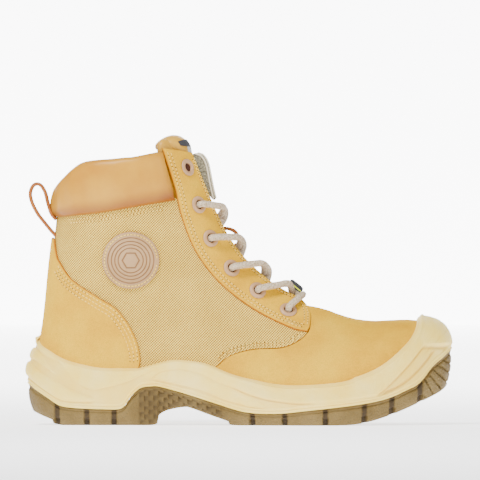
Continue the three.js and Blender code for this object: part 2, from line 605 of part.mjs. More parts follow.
// Free tails of the lace, hanging inside the shaft beside the tongue.
const TAIL_X = -48;
const TAIL_Y = 22;
const AGLET_TOP = 76;
const AGLET_RADIUS = 2;
for (const [side, sign] of [['lateral', 1], ['medial', -1]]) {
  const [u, v] = eyeletPlaces[TOP_USED_EYELET];
  const y = -sign * TAIL_Y;
  const tail = new THREE.CatmullRomCurve3([
    holePoint(TOP_USED_EYELET, sign, -2.8), holePoint(TOP_USED_EYELET, sign, -3.8),
    skin(u, sign * v * 1.16, -6.6), skin(u + 0.06, sign * v * 1.32, -9.6),
    vector(TAIL_X + 2, y * 1.05, 143),
    vector(TAIL_X, y, 130), vector(TAIL_X, y, 104), vector(TAIL_X, y, AGLET_TOP + GAP),
  ], false, 'centripetal');
  addSolid(`lace_end_${side}`, solid(tube(tail, LACE_RADIUS, 16)), BRAID);
  const aglet = new THREE.CylinderGeometry(AGLET_RADIUS, AGLET_RADIUS * 0.9, AGLET_LENGTH, 10);
  aglet.rotateX(Math.PI / 2).translate(TAIL_X, y, AGLET_TOP - AGLET_LENGTH / 2);
  addSolid(`aglet_${side}`, solid(aglet), ENAMEL);
}

// ---------------------------------------------------------------- trim
const BADGE_CENTRE = [-77.6, 117.3];
const BADGE_RADIUS = 20.3;
const BADGE_FACETS = 28;
const circle = Array.from({ length: BADGE_FACETS }, (_, i) => {
  const turn = (2 * Math.PI * i) / BADGE_FACETS;
  return [BADGE_CENTRE[0] + BADGE_RADIUS * Math.cos(turn),
    BADGE_CENTRE[1] + BADGE_RADIUS * Math.sin(turn)];
});
addSolid('badge', layer(GAP + OVERLAY, GAP).intersect(across(circle, -80, 0)), ENAMEL);

// Small cloth tag lying along the lace between the lowest eyelets.
const tagGeometry = new THREE.BoxGeometry(11, 0.8, 4.4);
tagGeometry.rotateY(THREE.MathUtils.degToRad(39)).translate(40, -4, 100);
addSolid('side_tag', solid(tagGeometry), DARK);

// Pull loop at the back: one strap folded into a loop, standing off the collar.
const loopPath = curvePoints([[-134, 138.5], [-138.6, 143.5], [-144.2, 150.5], [-148.3, 158.5],
  [-149.6, 165.5], [-147.2, 171], [-142.8, 171], [-139, 166], [-137.4, 158.5], [-137, 150]], 2);
const strapHalf = 1.2;
const strapSide = (sign) => loopPath.map(([x, z], i) => {
  const [x0, z0] = loopPath[Math.max(i - 1, 0)];
  const [x1, z1] = loopPath[Math.min(i + 1, loopPath.length - 1)];
  const length = Math.hypot(x1 - x0, z1 - z0);
  return [x + (sign * strapHalf * (z1 - z0)) / length, z - (sign * strapHalf * (x1 - x0)) / length];
});
addSolid('pull_loop', across([...strapSide(1), ...strapSide(-1).reverse()], -10, 10), STRAP);

export default boot;
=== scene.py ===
import math

import bmesh
import bpy
import numpy as np
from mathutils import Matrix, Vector
from mathutils.geometry import delaunay_2d_cdt
from mathutils.kdtree import KDTree


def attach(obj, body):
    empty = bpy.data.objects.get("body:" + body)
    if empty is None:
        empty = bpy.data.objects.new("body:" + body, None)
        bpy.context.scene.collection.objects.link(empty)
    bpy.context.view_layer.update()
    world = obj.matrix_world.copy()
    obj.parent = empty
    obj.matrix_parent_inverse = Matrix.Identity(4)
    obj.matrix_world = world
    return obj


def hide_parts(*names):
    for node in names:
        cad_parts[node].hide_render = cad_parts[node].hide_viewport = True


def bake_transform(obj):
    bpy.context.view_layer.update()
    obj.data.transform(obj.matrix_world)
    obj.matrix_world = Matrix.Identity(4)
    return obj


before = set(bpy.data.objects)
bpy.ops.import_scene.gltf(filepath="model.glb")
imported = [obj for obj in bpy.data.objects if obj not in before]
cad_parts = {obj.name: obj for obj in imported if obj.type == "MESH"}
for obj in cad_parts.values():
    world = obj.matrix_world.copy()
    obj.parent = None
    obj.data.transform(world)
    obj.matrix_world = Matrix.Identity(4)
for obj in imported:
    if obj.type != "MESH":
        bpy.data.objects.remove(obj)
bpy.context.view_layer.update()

# The looks of a right-foot lace-up safety boot. Lengths are in millimetres until a mesh is
# made; +X points to the toe, +Y to the inner side of the foot, +Z up. A side-view seam is a
# list of (x, z) points. A place on the upper is (u, v): u runs from the shaft's top to the
# toe tip, v goes round the section, 0 at the front or top, +pi/2 at the outer side.
MM = 0.001
SIDE_SHIFT = 2.5

# ------------------------------------------------------------------ shape of the upper
# front x, front z, back x, back z, half width, middle y, widest place, roundness x 2
STATIONS = np.array([
    [-39, 210, -126, 205, 42, 0, 0.5, 1.9, 2.2],
    [-31, 189, -129.4, 172, 42.5, 0, 0.5, 1.9, 2.2],
    [-23.5, 171, -131, 150, 42, 0, 0.5, 1.9, 2.2],
    [-15.5, 152.8, -133.4, 127, 40.5, 0, 0.5, 1.9, 2.3],
    [-6, 135.2, -136.2, 103, 38, 0, 0.5, 1.9, 2.4],
    [6, 119.8, -138.7, 78, 36, 0, 0.5, 1.9, 2.6],
    [21.5, 105.6, -141.2, 52, 35, 0, 0.5, 1.9, 2.9],
    [36, 95.4, -137, 25.5, 35.5, -0.5, 0.52, 1.9, 3.4],
    [49.4, 87.8, -95, 22, 38, -1.5, 0.6, 1.95, 3.8],
    [64, 81, -45, 22, 42.5, -2.5, 0.68, 2, 4],
    [80, 75.9, 8, 18.5, 47.5, -2.5, 0.72, 2, 4],
    [95, 73.9, 50, 16.5, 50.5, -2, 0.72, 2.1, 4],
    [108, 74.4, 85, 18.5, 48.5, -1, 0.72, 2.2, 3.8],
    [119, 74.8, 110, 23, 43, 0, 0.7, 2.3, 3.4],
    [130, 73.4, 127, 29, 34.5, 1.5, 0.65, 2.3, 3],
    [139, 68.8, 138, 35, 24.5, 2.6, 0.6, 2.2, 2.6],
    [145, 60, 145, 42, 13, 3, 0.55, 2.1, 2.2],
    [147, 51, 147, 51, 0, 3, 0.5, 2, 2],
], float)
LAST = len(STATIONS) - 1
TIP_LIMIT = LAST - 0.06


def through(rows, k):
    """Points at places k (0 to rows - 1) of a smooth curve through rows of numbers."""
    rows = np.asarray(rows, float)
    k = np.asarray(k, float)
    padded = np.vstack([2 * rows[0] - rows[1], rows, 2 * rows[-1] - rows[-2]])
    i = np.clip(np.floor(k).astype(int), 0, len(rows) - 2)
    t = (k - i)[..., None]
    before, a, b, after = padded[i], padded[i + 1], padded[i + 2], padded[i + 3]
    bend = 2 * before - 5 * a + 4 * b - after
    twist = 3 * a - before - 3 * b + after
    return 0.5 * (2 * a + (b - before) * t + bend * t**2 + twist * t**3)


def smooth(rows, steps=8):
    """A smooth curve through rows, with some steps between neighbours."""
    return through(rows, np.linspace(0, len(rows) - 1, (len(rows) - 1) * steps + 1))


def run_of(points):
    """The distance along a polyline at each of its points."""
    lengths = np.linalg.norm(np.diff(points, axis=0), axis=1)
    return np.concatenate([[0], np.cumsum(lengths)])


def sampled(at, along, rows):
    """Rows of numbers read at places along a line."""
    return np.stack([np.interp(at, along, column) for column in rows.T], -1)


def spaced(points, gap):
    """The same polyline with points one gap apart."""
    points = np.asarray(points, float)
    along = run_of(points)
    count = max(2, int(round(along[-1] / gap)) + 1)
    return sampled(np.linspace(0, along[-1], count), along, points)


def step(value, width):
    """0 below, 1 above, with a soft change over a width about zero."""
    t = np.clip(value / width + 0.5, 0, 1)
    return t * t * (3 - 2 * t)


def squared(wave, power):
    """A sine or cosine made squarer (power below 1), its sign kept."""
    return np.sign(wave) * np.abs(wave) ** power


def at_y(flat, y):
    """Side-view points put at y, which is one value or one for each point."""
    return np.insert(flat, 1, y, axis=1)


def height_of(points):
    """z as a function of x for a smooth side-view curve that runs towards +X."""
    dense = smooth(points, 10)
    return lambda x: np.interp(x, dense[:, 0], dense[:, 1])


def skin_base(u, v):
    u, v = np.broadcast_arrays(np.asarray(u, float), np.asarray(v, float))
    columns = np.moveaxis(through(STATIONS, u), -1, 0)
    fx, fz, bx, bz, half, middle, widest, front, back = columns
    sine, cosine = np.sin(v), np.cos(v)
    ahead = cosine > 0
    power = 2 / np.where(ahead, front, back)
    reach = np.abs(cosine) ** power
    s = np.where(ahead, widest * (1 - reach), widest + (1 - widest) * reach)
    y = middle - half * squared(sine, power)
    return np.stack([fx + (bx - fx) * s, y, fz + (bz - fz) * s], -1)


def skin_normal(u, v):
    du, dv = 0.03, 0.02
    u = np.clip(u, du, TIP_LIMIT - du)
    along_u = skin_base(u + du, v) - skin_base(u - du, v)
    along_v = skin_base(u, v + dv) - skin_base(u, v - dv)
    normal = np.cross(along_v, along_u)
    return normal / np.linalg.norm(normal, axis=-1, keepdims=True)


def skin(u, v, offset=0.0):
    """Points of the upper's surface moved outwards by an offset."""
    u, v = np.broadcast_arrays(np.asarray(u, float), np.asarray(v, float))
    u = np.clip(u, 0, TIP_LIMIT)
    return skin_base(u, v) + np.asarray(offset, float)[..., None] * skin_normal(u, v)


def on_skin(places, offset=0.0):
    """Points of the upper at rows of (u, v)."""
    return skin(places[:, 0], places[:, 1], offset)


def locate(points):
    """(u, v) on the outer side of the foot of side-view points."""
    points = np.atleast_2d(np.asarray(points, float))
    x, z = points.T
    low, high = np.zeros(len(x)), np.full(len(x), TIP_LIMIT)
    for _ in range(26):
        u = (low + high) / 2
        fx, fz, bx, bz = through(STATIONS[:, :4], u).T
        beyond = (bx - fx) * (z - fz) - (bz - fz) * (x - fx) > 0
        low, high = np.where(beyond, u, low), np.where(beyond, high, u)
    fx, fz, bx, bz, _, _, widest, front, back = through(STATIONS, low).T
    squared = (bx - fx) ** 2 + (bz - fz) ** 2
    s = np.clip(((x - fx) * (bx - fx) + (z - fz) * (bz - fz)) / squared, 0, 1)
    ahead = s < widest
    near = np.arccos(np.clip(1 - s / widest, 0, 1) ** (front / 2))
    far = np.pi - np.arccos(np.clip((s - widest) / (1 - widest), 0, 1) ** (back / 2))
    return np.stack([low, np.where(ahead, near, far)], 1)


def mirror_front(places):
    return places * [1, -1]


def mirror_back(places):
    return np.stack([places[:, 0], 2 * np.pi - places[:, 1]], 1)


def whole(half, mirror):
    """A closed outline from its outer half, which starts and ends on the middle plane."""
    return np.vstack([half, mirror(half)[-2:0:-1]])


# ------------------------------------------------------------------ mesh helpers
def linked(name, data):
    """A new object in the scene."""
    made = bpy.data.objects.new(name, data)
    bpy.context.scene.collection.objects.link(made)
    return made


def make(name, points, faces, sharp=None):
    """A mesh object from points in millimetres."""
    points = np.asarray(points, float) * MM
    points[:, 1] += SIDE_SHIFT * MM
    mesh = bpy.data.meshes.new(name)
    mesh.from_pydata(points.tolist(), [], [list(map(int, face)) for face in faces])
    mesh.validate()
    mesh.update()
    mesh.shade_smooth()
    if sharp is not None:
        mesh.set_sharp_from_angle(angle=math.radians(sharp))
    return linked(name, mesh)


def upright(piece):
    """Turns a closed mesh's faces outwards."""
    shape = bmesh.new()
    shape.from_mesh(piece.data)
    bmesh.ops.recalc_face_normals(shape, faces=shape.faces)
    shape.to_mesh(piece.data)
    shape.free()
    return piece


def solid(name, parts, sharp=None):
    """A closed piece from its points and faces."""
    return upright(make(name, *parts, sharp))


def finish_piece(piece, body, slot, material, *nodes):
    """Gives a piece its body, its finish and the CAD nodes that it stands for; the slot is not used. The
    body is None where a blend between two bodies follows."""
    piece.data.materials.clear()
    piece.data.materials.append(material)
    if body:
        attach(piece, body)
    if nodes:
        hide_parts(*nodes)
    return piece


def joined(parts):
    """One list of points and one of faces from several (points, faces) pairs."""
    points, faces, start = [], [], 0
    for some_points, some_faces in parts:
        points.append(np.asarray(some_points, float))
        faces.extend([[i + start for i in face] for face in some_faces])
        start += len(some_points)
    return np.vstack(points), faces


def ring_faces(rings, count):
    """Faces between closed rings of equal count, with flat ends."""
    faces = []
    for i in range(rings - 1):
        for j in range(count):
            a, b = i * count + j, i * count + (j + 1) % count
            faces.append((a, b, b + count, a + count))
    faces.append(tuple(range(count))[::-1])
    faces.append(tuple(range((rings - 1) * count, rings * count)))
    return faces


def wrapped_faces(rows, count, spans):
    """Faces between rows of points, the last row joined to the first. A row has count points
    and as many spans, or one span less where it doesn't close."""
    faces = []
    for i in range(rows):
        row, after = i * count, (i + 1) % rows * count
        for j in range(spans):
            k = (j + 1) % count
            faces.append((row + j, after + j, after + k, row + k))
    return faces


def loop_grid(grid):
    """Points and faces of rings of points that close on themselves."""
    return grid.reshape(-1, 3), ring_faces(*grid.shape[:2])


def frames_along(path):
    """Tangents and two steady cross directions along a path."""
    tangents = np.gradient(path, axis=0)
    tangents /= np.linalg.norm(tangents, axis=1, keepdims=True)
    first = np.cross(tangents[0], [0.3, 0.2, 1.0])
    side = first / np.linalg.norm(first)
    sides = []
    for tangent in tangents:
        side = side - tangent * side.dot(tangent)
        side = side / np.linalg.norm(side)
        sides.append(side)
    sides = np.array(sides)
    return tangents, sides, np.cross(tangents, sides)


def tube(path, radius, sides=12, swell=None):
    """Points and faces of a round tube; swell gives a share of the radius per ring and side."""
    path = np.asarray(path, float)
    _, right, up = frames_along(path)
    turns = np.linspace(0, 2 * np.pi, sides, endpoint=False)
    share = np.ones((len(path), sides)) if swell is None else swell
    offset = (np.cos(turns)[None, :, None] * right[:, None, :]
              + np.sin(turns)[None, :, None] * up[:, None, :])
    points = path[:, None, :] + radius * share[..., None] * offset
    return points.reshape(-1, 3), ring_faces(len(path), sides)


def inside(points, outline):
    """Which points lie inside a closed outline."""
    x, y = points[:, 0:1], points[:, 1:2]
    x0, y0 = outline[:, 0], outline[:, 1]
    x1, y1 = np.roll(x0, -1), np.roll(y0, -1)
    spans = (y0 > y) != (y1 > y)
    rise = np.where(y1 == y0, 1e-9, y1 - y0)
    crossing = x < (x1 - x0) * (y - y0) / rise + x0
    return (spans & crossing).sum(1) % 2 == 1


def inward_normals(loop):
    """Unit normals of a closed flat loop, towards its inside."""
    before, after = np.roll(loop, 1, 0), np.roll(loop, -1, 0)
    inward = (after - before)[:, ::-1] * [-1, 1]
    inward /= np.linalg.norm(inward, axis=1, keepdims=True) + 1e-9
    return inward * np.sign(np.sum(loop[:, 0] * after[:, 1] - after[:, 0] * loop[:, 1]))


FLAT_SCALE = np.array([17.0, 40.0])    # rough millimetres per unit of u and v


def nearest(points):
    """A lookup tree of points with two or three coordinates."""
    tree = KDTree(len(points))
    for i, point in enumerate(points):
        tree.insert((*point, 0)[:3], i)
    tree.balance()
    return tree


def gaps_to(tree, points):
    return np.array([tree.find((*point, 0)[:3])[2] for point in points])


def panel(name, outline, low, top, roll, spacing, lift=None, holes=()):
    """A sewn panel on the upper: its (u, v) outline filled from offset low up to offset top,
    with rolled edges. lift(points) adds to the top's offset. Its vertices carry a mark that is
    1 on the cut edge and darkens it there: partly the edge's own darker colour, partly painted
    shade in the step where one panel lies on another."""
    loops, rows = [], []
    for n, loop in enumerate([outline, *holes]):
        flat = loop * FLAT_SCALE
        edge = spaced(np.vstack([flat, flat[:1]]), 1.3 if n == 0 else 0.9)[:-1]
        loops.append(edge)
        rows.append(inward_normals(edge) * (1 if n == 0 else -1))
    edge = np.vstack(loops)
    normal = np.vstack(rows)
    low_x, low_y = edge.min(0)
    high_x, high_y = edge.max(0)
    grid = np.stack(np.meshgrid(np.arange(low_x, high_x, spacing),
                                np.arange(low_y, high_y, spacing * 0.9)), -1)
    grid[::2, :, 0] += spacing / 2
    grid = grid.reshape(-1, 2)
    tree = nearest(edge)

    def within(points):
        kept = inside(points, loops[0])
        for hole in loops[1:]:
            kept &= ~inside(points, hole)
        return kept

    def far(points, least):
        points = points[within(points)]
        return points[gaps_to(tree, points) > least] if len(points) else points

    shares = (0.12, 0.35, 0.75, 1.25)
    extra = [far(edge + normal * roll * share, roll * share * 0.8) for share in shares]
    extra.append(far(grid, roll * 1.25 + spacing * 0.45))
    border = []
    for loop in loops:
        start, count = len(border), len(loop)
        border += [(start + i, start + (i + 1) % count) for i in range(count)]
    count = len(edge)

    def fill(more):
        points = np.vstack([edge, *more])
        result = delaunay_2d_cdt([Vector(p) for p in points], border, [], 1, 1e-4)
        made = np.array([list(p) for p in result[0]])
        sides = np.array([list(face) for face in result[2]])
        kept = within(made[sides].mean(1))
        return made, [list(face) for face in sides[kept]]

    top_flat, top_faces = fill(extra)
    under_flat, under_faces = fill([grid[::6][within(grid[::6])]])
    places = top_flat / FLAT_SCALE
    base = on_skin(places, low)
    distance = gaps_to(nearest(base[:count]), base)
    distance[:count] = 0
    rounded = np.sqrt(1 - (1 - np.clip(distance / roll, 0, 1)) ** 2)
    offset = low + (top - low) * rounded
    if lift is not None:
        offset = offset + lift(base) * np.clip(distance / roll, 0, 1)
    top_points = on_skin(places, offset)
    under_places = under_flat[count:] / FLAT_SCALE
    under = on_skin(under_places, low - 0.1)
    shift = len(top_points) - count
    faces = top_faces + [[i if i < count else i + shift for i in face[::-1]]
                         for face in under_faces]
    piece = make(name, np.vstack([top_points, under]), faces)
    # Darker cut edge: partly the edge's own colour, partly painted shade in the step between panels.
    edge_tone_and_shade = np.concatenate([1 - step(distance - 0.4, 0.4), np.zeros(len(under))])
    set_mark(piece, "edge_tone_and_shade", edge_tone_and_shade)
    chart_on(piece, np.vstack([places, under_places]))
    return upright(piece)


def chart_on(piece, places):
    """A UV map in millimetres that unrolls the upper along its sections."""
    rows = np.linspace(0, LAST - 1, 65)
    turns = np.linspace(-np.pi, 2 * np.pi, 289)
    grid = skin_base(rows[:, None] + 0 * turns, turns[None] + 0 * rows[:, None])
    lengths = np.linalg.norm(np.diff(grid, axis=1), axis=2)
    along = np.concatenate([np.zeros((len(rows), 1)), np.cumsum(lengths, 1)], 1)
    start = np.array([np.interp(np.pi / 2, turns, line) for line in along])
    along = along - start[:, None]
    u = np.clip(places[:, 0], 0, LAST - 1.001)
    k = u / (LAST - 1) * 64
    i = np.clip(k.astype(int), 0, 63)
    m = np.clip((places[:, 1] + np.pi) / (3 * np.pi) * 288, 0, 287.999)
    j = m.astype(int)
    a, b = k - i, m - j
    arc = ((along[i, j] * (1 - b) + along[i, j + 1] * b) * (1 - a)
           + (along[i + 1, j] * (1 - b) + along[i + 1, j + 1] * b) * a)
    middle = skin_base(u, np.full(len(u), np.pi / 2))[:, [0, 2]]
    ends = skin_base(u, np.full(len(u), np.pi))[:, [0, 2]] - middle
    ends /= np.linalg.norm(ends, axis=1, keepdims=True) + 1e-9
    flat = middle + ends * arc[:, None]
    layer = piece.data.uv_layers.new(name="chart")
    loops = np.empty(len(piece.data.loops), int)
    piece.data.loops.foreach_get("vertex_index", loops)
    layer.data.foreach_set("uv", flat[loops].ravel())


# ------------------------------------------------------------------ camera and laces' ends
CAMERA_LENS = 800
CAMERA_DISTANCE = 7.616
CAMERA_HEIGHT = 0.1317
camera_data = bpy.data.cameras.new("camera")
camera_data.lens = CAMERA_LENS
camera_data.sensor_width = 36
camera_data.clip_end = 60
camera = linked("camera", camera_data)
camera.location = (0, -CAMERA_DISTANCE, CAMERA_HEIGHT)
camera.rotation_euler = (math.radians(90), 0, 0)
bpy.context.scene.camera = camera

SIDES = {"lateral": -1, "medial": 1}
EYELETS = [[-38.8, 182.8], [-30.8, 156.3], [-22.1, 132.4], [-6.9, 111], [11.8, 94.9],
           [34.1, 80.5]]
EYELET_PLACES = locate(EYELETS)
TAIL_X, TAIL_Y = -48, 22


def hole_point(i, side, height):
    """A point on the middle line of an eyelet; side is -1 on the outer side."""
    u, v = EYELET_PLACES[i]
    return skin(u, -side * v, height)


def tail_path(side):
    """The lace's end from the second eyelet down inside the boot."""
    u, v = EYELET_PLACES[1]
    rows = [hole_point(1, side, -2.8), hole_point(1, side, -3.8),
            skin(u, -side * 1.16 * v, -6.6), skin(u + 0.06, -side * 1.32 * v, -9.6),
            [TAIL_X + 2, side * TAIL_Y * 1.05, 143], [TAIL_X, side * TAIL_Y, 130],
            [TAIL_X, side * TAIL_Y, 104], [TAIL_X, side * TAIL_Y, 76.3]]
    return np.array(rows, float)


# ------------------------------------------------------------------ finishes
VIVID = 2.2        # bright light washes colours out, so the finishes are deeper
WEAVE_PITCH = 1.9


def linear(red, green, blue):
    """A display colour (0 to 255) as scene-linear red, green, blue and alpha."""
    parts = [c / 255 for c in (red, green, blue)]
    lit = [((c + 0.055) / 1.055) ** 2.4 if c > 0.04 else c / 12.92 for c in parts]
    most = max(lit)
    return (*[most * (c / most) ** (1 + VIVID * (1 - c / most) ** 3) for c in lit], 1.0)


def plug(socket, value):
    """Gives a node's socket a value, or a link where an output is given."""
    if isinstance(value, bpy.types.NodeSocket):
        socket.id_data.links.new(value, socket)
    else:
        socket.default_value = value


def feed(made, **inputs):
    """Sets a node's inputs by name."""
    for key, value in inputs.items():
        plug(made.inputs[key.replace("_", " ")], value)


def finish(name, rough, **shader_values):
    """A new material, its node tree and its shader."""
    made = bpy.data.materials.new(name)
    made.use_nodes = True
    shader = made.node_tree.nodes["Principled BSDF"]
    feed(shader, Roughness=rough, **shader_values)
    return made, made.node_tree, shader


def place(tree):
    return tree.nodes.new("ShaderNodeTexCoord").outputs["Object"]


def noise(tree, scale, detail=3.0, rough=0.55):
    made = tree.nodes.new("ShaderNodeTexNoise")
    feed(made, Vector=place(tree), Scale=scale, Detail=detail, Roughness=rough)
    return made.outputs["Fac"]


def ramp(tree, factor, *stops):
    """A colour ramp: stops are (place, display colour)."""
    made = tree.nodes.new("ShaderNodeValToRGB")
    feed(made, Fac=factor)
    first, last = made.color_ramp.elements
    first.position, first.color = stops[0][0], linear(*stops[0][1])
    last.position, last.color = stops[-1][0], linear(*stops[-1][1])
    for at, colour in stops[1:-1]:
        made.color_ramp.elements.new(at).color = linear(*colour)
    return made.outputs["Color"]


def sums(tree, how, first, second=0.0):
    made = tree.nodes.new("ShaderNodeMath")
    made.operation = how
    plug(made.inputs[0], first)
    plug(made.inputs[1], second)
    return made.outputs[0]


def blend_colours(tree, factor, first, second, how="MIX"):
    made = tree.nodes.new("ShaderNodeMixRGB")
    made.blend_type = how
    feed(made, Fac=factor, Color1=first, Color2=second)
    return made.outputs["Color"]


def bumped(tree, height, distance, strength=1.0, under=None):
    """A bump of a height texture; distance in millimetres. under is a bump below it."""
    made = tree.nodes.new("ShaderNodeBump")
    feed(made, Height=height, Distance=distance * MM, Strength=strength)
    if under is not None:
        feed(made, Normal=under)
    return made.outputs["Normal"]


def mark(tree, name):
    """The value of a named vertex attribute."""
    made = tree.nodes.new("ShaderNodeAttribute")
    made.attribute_name = name
    return made.outputs["Fac"]


def set_mark(piece, name, values):
    layer = piece.data.attributes.new(name, "FLOAT", "POINT")
    layer.data.foreach_set("value", np.asarray(values, float).ravel())


def plain(name, low, high, rough, grain=900.0, depth=0.05, blotch=60.0, **shader_values):
    """A finish that varies between two colours, with a fine grain."""
    made, tree, shader = finish(name, rough, **shader_values)
    colour = ramp(tree, noise(tree, blotch), (0.3, low), (0.7, high))
    feed(shader, Base_Color=colour, Normal=bumped(tree, noise(tree, grain, 2.0), depth))
    return made


def nubuck_finish():
    """Matt golden hide: cloudy colour, a fine nap and the odd crease."""
    made, tree, shader = finish("nubuck", 0.85, Specular_IOR_Level=0.15)
    cloud = noise(tree, 26.0, 5.0, 0.62)
    colour = ramp(tree, cloud, (0.3, (216, 166, 78)), (0.5, (229, 181, 92)),
                  (0.72, (238, 195, 108)))
    speck = ramp(tree, noise(tree, 1500.0, 2.0), (0.35, (222, 222, 222)),
                 (0.65, (255, 255, 255)))
    tint = blend_colours(tree, 0.8, colour, speck, "MULTIPLY")
    # The cut edges darken: partly the leather's own darker edge, partly painted shade in the step where
    # one panel lies on another.
    shade = blend_colours(tree, mark(tree, "edge_tone_and_shade"), tint, linear(176, 122, 62))
    fine = bumped(tree, noise(tree, 1300.0, 3.0), 0.07)
    coarse = bumped(tree, noise(tree, 190.0, 4.0), 0.22, under=fine)
    feed(shader, Base_Color=shade, Normal=coarse)
    return made


def canvas_finish():
    """Heavy cloth of a slanting weave, drawn on the UV map in millimetres."""
    made, tree, shader = finish("canvas", 0.9, Specular_IOR_Level=0.15)
    chart = tree.nodes.new("ShaderNodeSeparateXYZ")
    feed(chart, Vector=tree.nodes.new("ShaderNodeUVMap").outputs["UV"])
    along = sums(tree, "MULTIPLY", chart.outputs["X"], 1.0 / WEAVE_PITCH)
    across = sums(tree, "MULTIPLY", chart.outputs["Y"], 1.0 / WEAVE_PITCH)
    wobble = sums(tree, "MULTIPLY", noise(tree, 240.0, 2.0), 0.5)
    first = sums(tree, "ADD", sums(tree, "ADD", along, across), wobble)
    second = sums(tree, "SUBTRACT", along, across)

    def ridge(value):
        wave = sums(tree, "SINE", sums(tree, "MULTIPLY", value, math.pi))
        return sums(tree, "POWER", sums(tree, "ABSOLUTE", wave), 0.6)

    floats = sums(tree, "ADD", sums(tree, "MULTIPLY", ridge(first), 0.5), 0.5)
    height = sums(tree, "MULTIPLY", ridge(second), floats)
    # The colour follows the weave's height: painted shade in its hollows and painted highlight on its
    # raised threads, over the cloth's tan.
    colour = ramp(tree, height, (0.2, (118, 74, 24)), (0.55, (204, 152, 74)),
                  (0.92, (255, 234, 160)))
    soft = ramp(tree, noise(tree, 40.0, 3.0), (0.3, (232, 228, 220)), (0.7, (255, 255, 255)))
    tint = blend_colours(tree, 0.8, colour, soft, "MULTIPLY")
    # The cut edges darken: partly the cloth's own darker edge, partly painted shade in the step where one
    # panel lies on another.
    shade = blend_colours(tree, mark(tree, "edge_tone_and_shade"), tint, linear(150, 100, 52))
    feed(shader, Base_Color=shade, Normal=bumped(tree, height, 0.35))
    return made


def satin_finish(name, low, high):
    """Smooth lining cloth with a soft shine."""
    made, tree, shader = finish(name, 0.4, Sheen_Weight=0.08, Sheen_Roughness=0.35,
                                Sheen_Tint=linear(255, 232, 196), Specular_IOR_Level=0.35)
    colour = ramp(tree, noise(tree, 30.0, 3.0), (0.3, low), (0.7, high))
    # Painted shade: darker towards the shade colour along the collar's seam and near its ends.
    colour = blend_colours(tree, mark(tree, "painted_shade"), colour, linear(136, 88, 42))
    weave = bumped(tree, noise(tree, 1100.0, 2.0), 0.06)
    folds = bumped(tree, noise(tree, 70.0, 2.0), 0.35, under=weave)
    feed(shader, Base_Color=colour, Normal=folds)
    return made


def rough_rubber(name, low, high, shade, rough, grain, depth):
    """Moulded rubber or foam: coarse where the mark "coarse" is 1, with painted shade that darkens its
    grooves and hollows towards the shade colour.
    """
    made, tree, shader = finish(name, rough, Specular_IOR_Level=0.4)
    colour = ramp(tree, noise(tree, 45.0, 4.0), (0.3, low), (0.7, high))
    # Painted shade: the colour darkens towards the shade colour in the piece's grooves and hollows.
    colour = blend_colours(tree, mark(tree, "painted_shade"), colour, linear(*shade))
    cells = tree.nodes.new("ShaderNodeTexVoronoi")
    feed(cells, Vector=place(tree), Scale=grain)
    bits = sums(tree, "MULTIPLY", cells.outputs["Distance"], mark(tree, "coarse"))
    fine = bumped(tree, noise(tree, 1400.0, 2.0), 0.04)
    feed(shader, Base_Color=colour, Normal=bumped(tree, bits, depth, under=fine))
    return made


NUBUCK = nubuck_finish()
CANVAS = canvas_finish()
SATIN = satin_finish("collar_satin", (188, 138, 78), (208, 160, 98))
TONGUE_SATIN = satin_finish("tongue_satin", (192, 146, 88), (210, 166, 106))
FOAM = rough_rubber("midsole_foam", (255, 219, 142), (255, 229, 166), (196, 146, 80),
                    0.5, 1100.0, 0.3)
RUBBER = rough_rubber("outsole_rubber", (98, 79, 53), (121, 101, 73), (56, 42, 26),
                      0.72, 620.0, 0.6)
BLACK_RUBBER = plain("black_rubber", (38, 38, 38), (50, 50, 50), 0.6)
STEEL = plain("steel", (150, 150, 152), (170, 170, 172), 0.35, 300.0, 0.02, Metallic=1.0)
FELT = plain("felt", (178, 168, 150), (200, 190, 172), 0.95, 600.0, 0.2)
STRAP = plain("strap_leather", (134, 86, 42), (166, 112, 62), 0.6, 500.0, 0.15, 120.0)
ENAMEL = plain("enamel", (170, 134, 110), (188, 152, 128), 0.45, 900.0, 0.01,
               Specular_IOR_Level=0.5)
MESH_CLOTH = plain("mesh_cloth", (58, 54, 40), (158, 150, 126), 0.9, 1200.0, 0.4, 1100.0)
LABEL = plain("label_cloth", (40, 40, 43), (54, 54, 57), 0.8, 1500.0, 0.1)
PALE_LABEL = plain("pale_label", (170, 172, 172), (192, 194, 192), 0.8, 1500.0, 0.1)
LIME = plain("lime_stripe", (208, 220, 80), (226, 236, 98), 0.7)
# Near-black brown of painted shade, for the discs in the eyelets' holes and the plugs in the needle
# holes.
PAINTED_SHADE_DARK = plain("painted_shade_dark", (58, 34, 20), (74, 44, 28), 0.95)
THREAD = plain("thread", (238, 198, 124), (250, 218, 150), 0.7, 2500.0, 0.1)
PIPING = plain("piping", (206, 196, 172), (222, 212, 190), 0.8)
LACE = plain("lace_braid", (150, 128, 104), (222, 204, 182), 0.85, 2000.0, 0.1, 900.0)
BADGE = rough_rubber("badge_rubber", (166, 132, 106), (184, 150, 124), (112, 80, 56),
                     0.6, 900.0, 0.1)


# ------------------------------------------------------------------ laces and eyelets
LACE_RADIUS = 2.45
UNDER, OVER = -3.1, 5.6
THROUGH_HOLE = (5.6, 3, 0.4, -2.4)
TOP_USED_EYELET = 1


